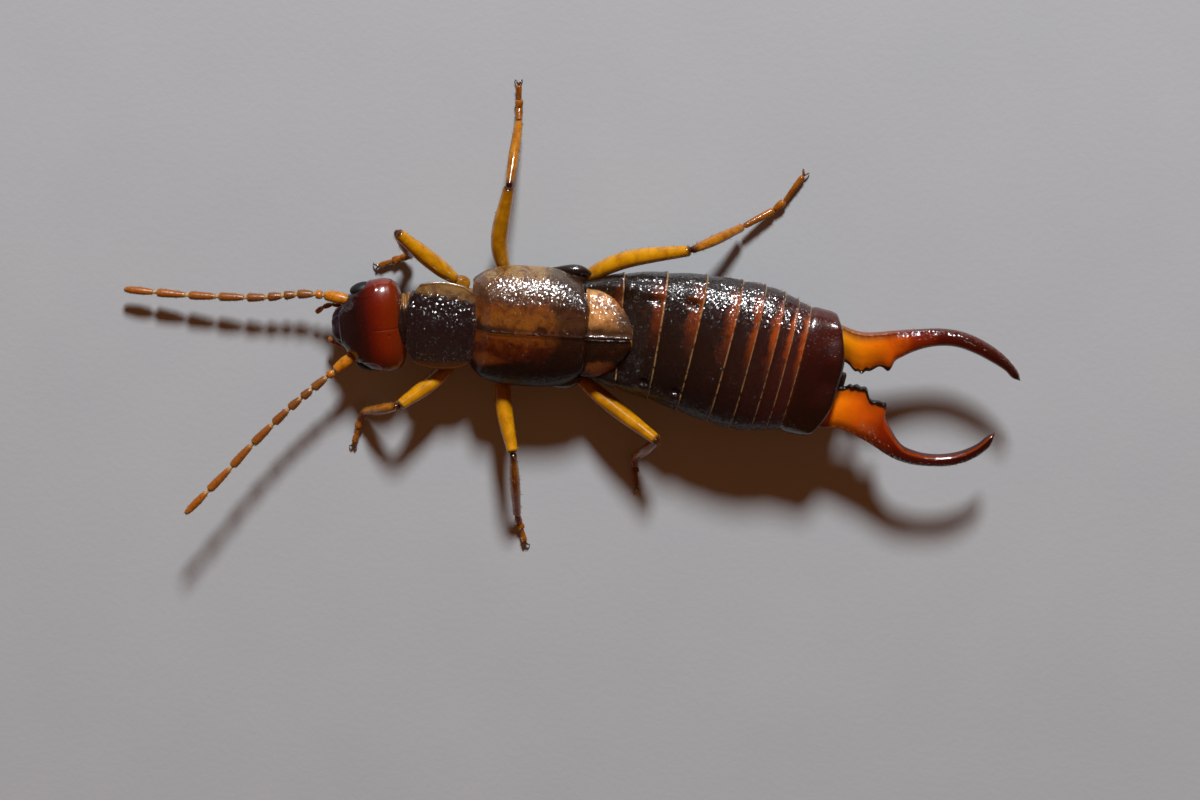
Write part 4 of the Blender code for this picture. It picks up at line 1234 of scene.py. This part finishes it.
def make_hairs(materials, beds):
    """Fine bristles, each a bent three-sided cone, leaning along what they grow on."""
    random = np.random.default_rng(HAIR_SEED)
    hairs = Shape("bristles")
    faces = [[0, 2, 1]]
    for a, b in ((0, 1), (1, 2), (2, 0)):
        faces += [[a, b, b + 3, a + 3], [a + 3, b + 3, 6]]
    c, s = np.cos(full_turn(3))[:, None], np.sin(full_turn(3))[:, None]
    for grid, facing, count, length in beds:
        rows, columns = grid.shape[:2]
        row = random.integers(rows // 12, rows - rows // 12, count)
        column = random.integers(0, columns, count)
        along = unit(np.gradient(grid, axis=0))[row, column]
        out = facing[row, column]
        reach = (length * random.uniform(0.6, 1.0, count))[:, None]
        lean = unit(out + 0.7 * along + random.normal(0, 0.18, (count, 3)))
        tip_lean = unit(lean + 0.8 * along)
        side = unit(np.cross(lean, along + 0.01))
        ring = (c * side[:, None] + s * np.cross(side, lean)[:, None]) * HAIR_RADIUS
        root = grid[row, column] - out * HAIR_RADIUS
        middle = root + lean * reach * 0.55
        tip = middle + tip_lean * reach * 0.50
        rings = (root[:, None] + ring, middle[:, None] + ring * 0.7)
        points = np.concatenate([*rings, tip[:, None]], 1)
        every = [[k + 7 * number for k in face] for number in range(count) for face in faces]
        hairs.add(points, every, {})
    hairs.finish([materials["hair"]], "amber_leg")


def head_finish():
    """Glassy red cuticle: orange-red at the back, blackish purple towards the mouth."""
    skin = Finish("head_red", coat=0.9, coat_roughness=0.07, shine=0.25)
    skin.rough(9, 0.18, 0.18)
    skin.glow(0.10, 0.20, (1.0, 0.12, 0.02))
    place = skin.mark("along") + skin.wander(2.2, 0.16, 4)
    colour = skin.ramp(
        place * 0.62 + 0.45,
        (0.02, (0.040, 0.004, 0.0006)), (0.08, (0.125, 0.013, 0.0008)),
        (0.30, (0.150, 0.010, 0.0005)), (0.46, (0.095, 0.004, 0.0006)),
        (0.60, (0.034, 0.002, 0.002)), (0.74, (0.010, 0.0018, 0.003)),
        (0.97, (0.010, 0.004, 0.007)),
    )
    flecks = skin.noise(34).step(0.52, 0.72)
    colour = skin.mix(flecks * 0.30, colour, (0.080, 0.006, 0.0005))
    pits = skin.cells(16).step(0.20, 0.05)
    return skin.done(colour, (skin.noise(12, 4), 0.002), (pits, -0.0014),
                     (skin.noise(70, 2), 0.0005))


def dark_finish(name, colour, sheen, roughness, coat):
    """Blackish horny cuticle with a coloured sheen and fine pits."""
    skin = Finish(name, coat=coat, coat_roughness=0.12, shine=0.3)
    skin.rough(20, roughness - 0.10, 0.22)
    colour = skin.mix(skin.noise(5, 4).step(0.35, 0.75), colour, sheen)
    pits = skin.cells(24).step(0.30, 0.05)
    return skin.done(colour, (skin.noise(14, 4), 0.003), (pits, -0.003),
                     (skin.noise(80, 2), 0.0008))


def eye_finish():
    """Matt black facets with a slight grey-blue sheen painted on the facet tops and in patches."""
    skin = Finish("eye_black", coat=0.10, coat_roughness=0.3, shine=0.25)
    skin.rough(30, 0.40, 0.20, 2)
    # Painted sheen: facet tops and patches are painted lighter grey-blue.
    colour = skin.mix(skin.mark("shade"), (0.002, 0.002, 0.0022), (0.007, 0.0075, 0.008))
    colour = skin.mix(skin.noise(6).step(0.4, 0.8), colour, (0.011, 0.012, 0.012))
    return skin.done(colour, (skin.noise(60, 2), 0.0012), (skin.cells(40), 0.001))


def amber_finish(name, deep, pale, roughness, glow, coat=0.6, dark_ends=()):
    """Clear amber cuticle, streaked along the limb; dark_ends shade it near some places."""
    skin = Finish(name, coat=coat, coat_roughness=0.10, shine=0.15)
    skin.rough(16, roughness - 0.09, 0.22)
    skin.glow(glow, 0.12, (1.0, 0.36, 0.03))
    streaks = skin.noise(3, 4, distortion=0.8).step(0.30, 0.72)
    colour = skin.mix(streaks, deep, pale)
    colour = skin.mix(skin.noise(30).step(0.5, 0.75) * 0.25, colour, deep)
    for place, width, shade, strength in dark_ends:
        spread = skin.noise(8, 2) * (width * 0.5) + width * 0.75
        near = 1 - abs(skin.mark("along") - place) / spread
        colour = skin.mix(near * strength, colour, shade)
    return skin.done(colour, (skin.noise(9, 4), 0.004), (skin.cells(26), 0.0016),
                     (skin.noise(70, 2), 0.0007))


def antenna_finish():
    """Orange pieces, browner towards the tip, with a fine short nap."""
    skin = Finish("antenna_orange", coat=0.3, coat_roughness=0.2, shine=0.25)
    skin.rough(25, 0.28, 0.20, 2)
    skin.glow(0.20, 0.08, (1.0, 0.35, 0.05))
    colour = skin.ramp(
        skin.mark("shade"),
        (0.0, (0.460, 0.150, 0.003)), (0.10, (0.400, 0.120, 0.005)),
        (0.24, (0.150, 0.050, 0.008)), (0.55, (0.180, 0.052, 0.006)),
        (1.0, (0.300, 0.080, 0.004)),
    )
    ends = abs(skin.mark("along") - 0.5).step(0.36, 0.50)
    colour = skin.mix(ends, colour, (0.36, 0.17, 0.04))
    streaks = skin.noise(9).step(0.42, 0.66)
    colour = skin.mix(streaks * 0.35, colour, (0.120, 0.030, 0.003))
    return skin.done(colour, (skin.noise(18), 0.003), (skin.cells(45), 0.002))


def pronotum_finish():
    """Black-purple disc full of tiny sparkling facets, and clear olive-tan margins, painted paler
    on the side the flash lights.
    """
    skin = Finish("pronotum_black", coat=1.0, coat_roughness=0.20, shine=0.2, coat_index=1.8)
    skin.rough(26, 0.20, 0.24)
    disc = (skin.mark("shade") + skin.wander(4, 0.6)).step(0.10, 0.80)
    # Painted light and shade: the margins are paler on the right, which faces the flash, and darker
    # on the shaded left.
    lit = skin.mark("across").step(0.4, -0.4)
    margin = skin.mix(lit, (0.070, 0.020, 0.004), (0.180, 0.090, 0.018))
    margin = skin.mix(skin.noise(4).step(0.35, 0.7), margin, (0.080, 0.028, 0.005))
    black = skin.mix(skin.noise(7), (0.0022, 0.0010, 0.0026), (0.006, 0.002, 0.005))
    colour = skin.mix(disc, margin, black)
    rear = skin.mark("along").step(0.86, 0.98)
    colour = skin.mix(rear * 0.5, colour, (0.040, 0.012, 0.005))
    sparkle = skin.facets(26) * disc
    return skin.done(colour, (skin.noise(6), 0.010), (sparkle, 2.0), (skin.noise(60, 2), 0.001))


def case_finish(side):
    """Leathery bronze: bronze-orange by the seam, darker where each case turns down. The left case
    is painted darker than the right, as painted shade on the side away from the flash.
    """
    coat, shine, slope = (1.0, 0.2, 1.0) if side == "right" else (0.25, 0.1, 0.8)
    skin = Finish("wing_case_bronze_" + side, coat, 0.18, shine, 1.8)
    skin.rough(30, 0.20, 0.26)
    along, across = skin.mark("along"), skin.mark("across")
    place = across * 0.64 + skin.wander(3.2, 0.80, 5, distortion=0.8)
    black = (0.006, 0.0014, 0.0008)
    # Lit and shaded copies: the right case gets the brighter ramp, the left case a darker one as
    # painted shade.
    if side == "right":
        colour = skin.ramp(
            place,
            (0.00, (0.030, 0.005, 0.001)), (0.10, (0.110, 0.026, 0.002)),
            (0.24, (0.230, 0.068, 0.003)), (0.40, (0.150, 0.034, 0.002)),
            (0.54, (0.060, 0.018, 0.004)), (0.72, (0.100, 0.040, 0.010)),
            (0.86, (0.110, 0.040, 0.008)), (0.96, (0.260, 0.140, 0.040)),
        )
        front = along.step(0.60, 0.10) * across.step(0.26, 0.06)
        hind = (along + skin.wander(3, 0.5, 4)).step(0.60, 0.80) * 0.85
        blotch = front.math("MAXIMUM", hind)
    else:
        colour = skin.ramp(
            place,
            (0.00, (0.110, 0.026, 0.002)), (0.10, (0.130, 0.028, 0.002)),
            (0.24, (0.060, 0.008, 0.0008)), (0.38, (0.030, 0.003, 0.0006)),
            (0.54, black), (0.96, (0.010, 0.002, 0.001)),
        )
        patch = (abs(along - 0.12) + abs(across - 0.72)).step(0.28, 0.10)
        colour = skin.mix(patch * 0.8, colour, (0.160, 0.034, 0.003))
        blotch = (along + skin.wander(3, 0.4, 4) + across * 0.16).step(0.58, 0.84)
    colour = skin.mix(blotch * 0.92, colour, black)
    grain = skin.noise(22, 4).step(0.42, 0.72)
    colour = skin.mix(grain * 0.40, colour, (0.026, 0.005, 0.0008))
    coarse = skin.noise(4, place=skin.stretched(skin.place, (1.0, 0.5, 1.0)))
    sparkle = skin.facets(34) * skin.mark("shade").step(0.97, 0.88)
    return skin.done(colour, (coarse, 0.012), (sparkle, slope), (skin.noise(60, 2), 0.001))


def tip_finish(side):
    """Copper-brown folded wings with a gold rim; the left one carries a pale orange spot. The right
    tip's pale peach is a painted highlight, and the left tip is painted darker as shade.
    """
    coat, shine = (1.0, 0.25) if side == "right" else (0.25, 0.1)
    skin = Finish("wing_tip_copper_" + side, coat, 0.18, shine, 1.8)
    skin.rough(30, 0.20, 0.25)
    along, across = skin.mark("along"), skin.mark("across")
    cloud = skin.noise(4, 4)
    if side == "right":
        # Painted highlight: the right tip, which faces the flash, is painted pale peach in patches.
        colour = skin.mix(cloud.step(0.30, 0.62), (0.200, 0.060, 0.008), (0.560, 0.240, 0.060))
        hind = along.step(0.40, 0.80) * across.step(0.95, 0.5)
        seam = hind.math("MAXIMUM", across.step(0.56, 0.14))
        colour = skin.mix(seam * 0.90, colour, (0.018, 0.006, 0.004))
    else:
        # Painted shade: the left tip, away from the flash, is painted near-black.
        colour = skin.mix(cloud.step(0.35, 0.75), (0.010, 0.003, 0.001), (0.028, 0.006, 0.001))
        from_x, from_y = (across - 0.82) * 4.2, (along - 0.40) * 2.6
        away = (from_x * from_x + from_y * from_y).math("SQRT")
        spot = (away + skin.wander(5, 0.7)).step(1.15, 0.60)
        colour = skin.mix(spot, colour, (0.240, 0.070, 0.008))
    outer_rim = skin.mark("shade").step(0.950, 0.985)
    rim = outer_rim.math("MAXIMUM", along.step(0.960, 0.990))
    colour = skin.mix(rim, colour, (0.34, 0.14, 0.020))
    return skin.done(colour, (skin.noise(5), 0.012), (skin.facets(34), 1.1),
                     (skin.noise(60, 2), 0.001))


def abdomen_finish():
    """Black-brown plates turning maroon to the rear, each with a gold hem; the clear hind margin of
    each plate gets an orange glow on the lit side only, as painted light.
    """
    skin = Finish("abdomen_maroon", coat_roughness=0.17, shine=0.2, coat_index=1.7)
    skin.rough(30, 0.20, 0.24)
    own, across, whole = skin.mark("along"), skin.mark("across"), skin.mark("shade")
    skin.set("Coat Weight", across.step(0.75, -0.10) * 0.75 + 0.25)
    colour = skin.ramp(
        whole + skin.wander(3, 0.30, 4),
        (0.05, (0.004, 0.0016, 0.0012)), (0.40, (0.006, 0.0012, 0.0012)),
        (0.66, (0.014, 0.0012, 0.0012)), (0.95, (0.030, 0.0016, 0.001)),
    )
    # Painted light: the hind margins are real, but their orange glow is painted in only where the
    # flash lights the right side.
    painted_glow_band = (own - skin.noise(4) * 0.8 - 0.15).step(0.0, 0.45)
    lit = across.step(0.15, -0.50) * across.step(-0.97, -0.74)
    rearward = (whole * 1.1 + 0.15).math("MINIMUM", 1.0)
    colour = skin.mix(painted_glow_band * lit * rearward, colour, (0.330, 0.050, 0.002))
    hem = own.step(0.970, 0.988) * skin.noise(9, 2).step(0.36, 0.50)
    colour = skin.mix(hem * 0.75, colour, (0.34, 0.19, 0.07))
    return skin.done(colour, (skin.noise(7), 0.010), (skin.facets(34), 1.1),
                     (skin.noise(60, 2), 0.001))


def last_plate_finish():
    """Smooth maroon, warmer along its front edge and its lit side."""
    skin = Finish("last_plate_maroon", coat=0.8, coat_roughness=0.10, shine=0.3)
    skin.rough(14, 0.15, 0.22)
    skin.glow(0.05, 0.15, (1.0, 0.12, 0.03))
    along = skin.mark("along")
    colour = skin.ramp(
        skin.mark("across") * -0.22 + skin.wander(3, 0.5, 4) + 0.36,
        (0.10, (0.010, 0.0015, 0.0014)), (0.50, (0.022, 0.0022, 0.002)),
        (0.92, (0.070, 0.007, 0.002)),
    )
    colour = skin.mix(along.step(0.22, 0.05) * 0.5, colour, (0.10, 0.014, 0.002))
    colour = skin.mix(along.step(0.88, 0.98), colour, (0.005, 0.0015, 0.0015))
    pits = skin.cells(15).step(0.26, 0.06)
    return skin.done(colour, (skin.noise(7, 4), 0.008), (pits, -0.004), (skin.noise(60, 2), 0.001))


def forceps_finish():
    """Clear amber at the root, orange then dark red towards the hooked tip."""
    skin = Finish("forceps_amber", coat=1.0, coat_roughness=0.09, shine=0.1, coat_index=1.6)
    skin.rough(14, 0.13, 0.18)
    skin.glow(0.25, 0.20, (1.0, 0.25, 0.02))
    t, around = skin.mark("along"), skin.mark("across")
    colour = skin.ramp(
        t + skin.wander(2.5, 0.10, 4),
        (0.06, (0.640, 0.230, 0.003)), (0.18, (0.800, 0.200, 0.001)),
        (0.32, (0.560, 0.085, 0.001)), (0.44, (0.210, 0.014, 0.001)),
        (0.56, (0.055, 0.002, 0.001)), (0.93, (0.018, 0.001, 0.001)),
    )
    colour = skin.mix(around.step(0.40, 0.90) * 0.8, colour, (0.070, 0.009, 0.001))
    inner = (around + skin.wander(6, 0.24, 2)).step(-0.66, -0.84)
    colour = skin.mix(inner * skin.mark("shade"), colour, (0.006, 0.002, 0.001))
    warm = around.step(-0.30, -0.75) * 0.75 * (1 - inner)
    colour = skin.mix(warm, colour, (0.300, 0.040, 0.001))
    grain = skin.cells(20).step(0.28, 0.06)
    glints = skin.facets(24) * around.step(0.0, 0.5) * t.step(0.25, 0.45)
    return skin.done(colour, (skin.noise(8, 4), 0.005), (grain, -0.002), (glints, 1.2))


def hair_finish():
    """Golden-brown bristles."""
    skin = Finish("hair_gold")
    skin.rough(20, 0.30, 0.20, 2)
    colour = skin.mix(skin.noise(5, 2), (0.30, 0.16, 0.05), (0.16, 0.07, 0.02))
    return skin.done(colour, (skin.noise(60, 2), 0.001))


def membrane_finish():
    """Soft skin between plates: blackish along the middle, amber at the sides, wet-looking."""
    skin = Finish("membrane_amber", coat=0.6, coat_roughness=0.12, shine=0.3)
    skin.rough(16, 0.26, 0.22)
    amber = skin.mix(skin.noise(8), (0.12, 0.042, 0.006), (0.26, 0.11, 0.016))
    beside = (skin.mark("shade") + skin.wander(5, 0.4)).step(0.42, 0.62)
    colour = skin.mix(beside, (0.012, 0.004, 0.003), amber)
    return skin.done(colour, (skin.noise(9, 4), 0.012), (skin.cells(26), 0.004))


def make_floor():
    """A plain pale ground that reaches past every view."""
    finish = Finish("floor_pale")
    finish.set("Roughness", 0.6)
    tint = finish.mix(finish.noise(0.25, 4), (0.400, 0.420, 0.440), (0.450, 0.465, 0.480))
    finish.done(tint, (finish.noise(6), 0.004))
    bpy.ops.mesh.primitive_plane_add(size=FLOOR_SIZE, location=(0, 0, 0))
    floor = bpy.context.object
    floor.name = "floor"
    floor.data.materials.append(finish.material)


def add_flash():
    """The hard light beside the insect, a disc turned to the middle of the view."""
    light = bpy.data.lights.new("flash", "AREA")
    light.shape = "DISK"
    light.size = FLASH_SIZE * MM
    light.energy = FLASH_POWER
    light.color = FLASH_COLOUR
    obj = bpy.data.objects.new("flash", light)
    bpy.context.scene.collection.objects.link(obj)
    place = CAMERA_TARGET + unit(FLASH_DIRECTION) * FLASH_DISTANCE
    obj.location = TO_FRAME @ Vector(place)
    away = TO_FRAME @ Vector(CAMERA_TARGET) - obj.location
    obj.rotation_euler = away.to_track_quat("-Z", "Y").to_euler()


def set_view():
    """Camera, lights and surroundings at the photo's viewing angle."""
    across = np.array([-math.sin(CAMERA_ROLL), math.cos(CAMERA_ROLL), 0.0])
    down = np.array([math.cos(CAMERA_ROLL), math.sin(CAMERA_ROLL), 0.0])
    look = math.sin(CAMERA_TILT) * down - math.cos(CAMERA_TILT) * UP
    lens = bpy.data.cameras.new("camera")
    lens.lens = CAMERA_LENS
    lens.sensor_width = CAMERA_SENSOR
    lens.clip_start, lens.clip_end = CAMERA_CLIP
    camera = bpy.data.objects.new("camera", lens)
    bpy.context.scene.collection.objects.link(camera)
    rows = Matrix([across, np.cross(across, look), -look]).transposed()
    eye = CAMERA_TARGET - look * CAMERA_DISTANCE
    camera.matrix_world = Matrix.Translation(TO_FRAME @ Vector(eye)) @ rows.to_4x4()
    bpy.context.scene.camera = camera
    add_flash()
    world = bpy.data.worlds.new("room")
    world.use_nodes = True
    world.node_tree.nodes["Background"].inputs["Color"].default_value = (*ROOM_COLOUR, 1)
    world.node_tree.nodes["Background"].inputs["Strength"].default_value = ROOM_STRENGTH
    bpy.context.scene.world = world
    bpy.context.scene.view_settings.view_transform = "Standard"


def make_materials():
    amber, honey = (0.360, 0.140, 0.001), (0.540, 0.240, 0.003)
    knee = ((0.0, 0.10, (0.090, 0.026, 0.002), 0.6), (1.0, 0.045, (0.040, 0.008, 0.001), 1.4))
    shin = ((0.0, 0.13, (0.050, 0.009, 0.001), 1.3), (1.0, 0.08, (0.12, 0.034, 0.003), 0.7))
    return {
        "head": head_finish(),
        "eye": eye_finish(),
        "lip": dark_finish("mouth_dark", (0.008, 0.002, 0.005), (0.030, 0.016, 0.030), 0.26, 0.8),
        "flank": dark_finish("flank_dark", (0.005, 0.002, 0.002), (0.016, 0.006, 0.003), 0.28, 0.9),
        "claw": dark_finish("claw_dark", (0.060, 0.016, 0.002), (0.140, 0.044, 0.005), 0.30, 0.5),
        "membrane": membrane_finish(),
        "thorax": amber_finish("thorax_amber", (0.10, 0.034, 0.003), (0.22, 0.085, 0.008), 0.34,
                               0.2),
        "antenna": antenna_finish(),
        "joint": amber_finish("joint_pale", (0.34, 0.17, 0.05), (0.50, 0.30, 0.12), 0.4, 0.4, 0.3),
        "pronotum": pronotum_finish(),
        "case_left": case_finish("left"),
        "case_right": case_finish("right"),
        "tip_left": tip_finish("left"),
        "tip_right": tip_finish("right"),
        "abdomen": abdomen_finish(),
        "last_plate": last_plate_finish(),
        "forceps": forceps_finish(),
        "hair": hair_finish(),
        "femur": amber_finish("femur_amber", amber, honey, 0.22, 0.35, 0.9, knee),
        "coxa": amber_finish("coxa_amber", (0.20, 0.070, 0.002), (0.36, 0.15, 0.006), 0.26, 0.3),
        "tibia": amber_finish("tibia_amber", (0.22, 0.065, 0.002), (0.40, 0.15, 0.004), 0.24, 0.3,
                              0.8, shin),
        "tarsus": amber_finish("tarsus_orange", (0.17, 0.042, 0.002), (0.32, 0.10, 0.005), 0.30,
                               0.3),
    }


materials = make_materials()
beds = []
make_head(materials)
make_eyes(materials)
make_mouth(materials)
make_neck(materials)
make_antennae(materials, beds)
make_pronotum(materials)
make_thorax(materials)
make_wing_cases(materials)
make_wing_tips(materials)
make_abdomen(materials, beds)
make_pygidium(materials)
make_forceps(materials, beds)
make_legs(materials, beds)
make_hairs(materials, beds)
make_floor()
set_view()
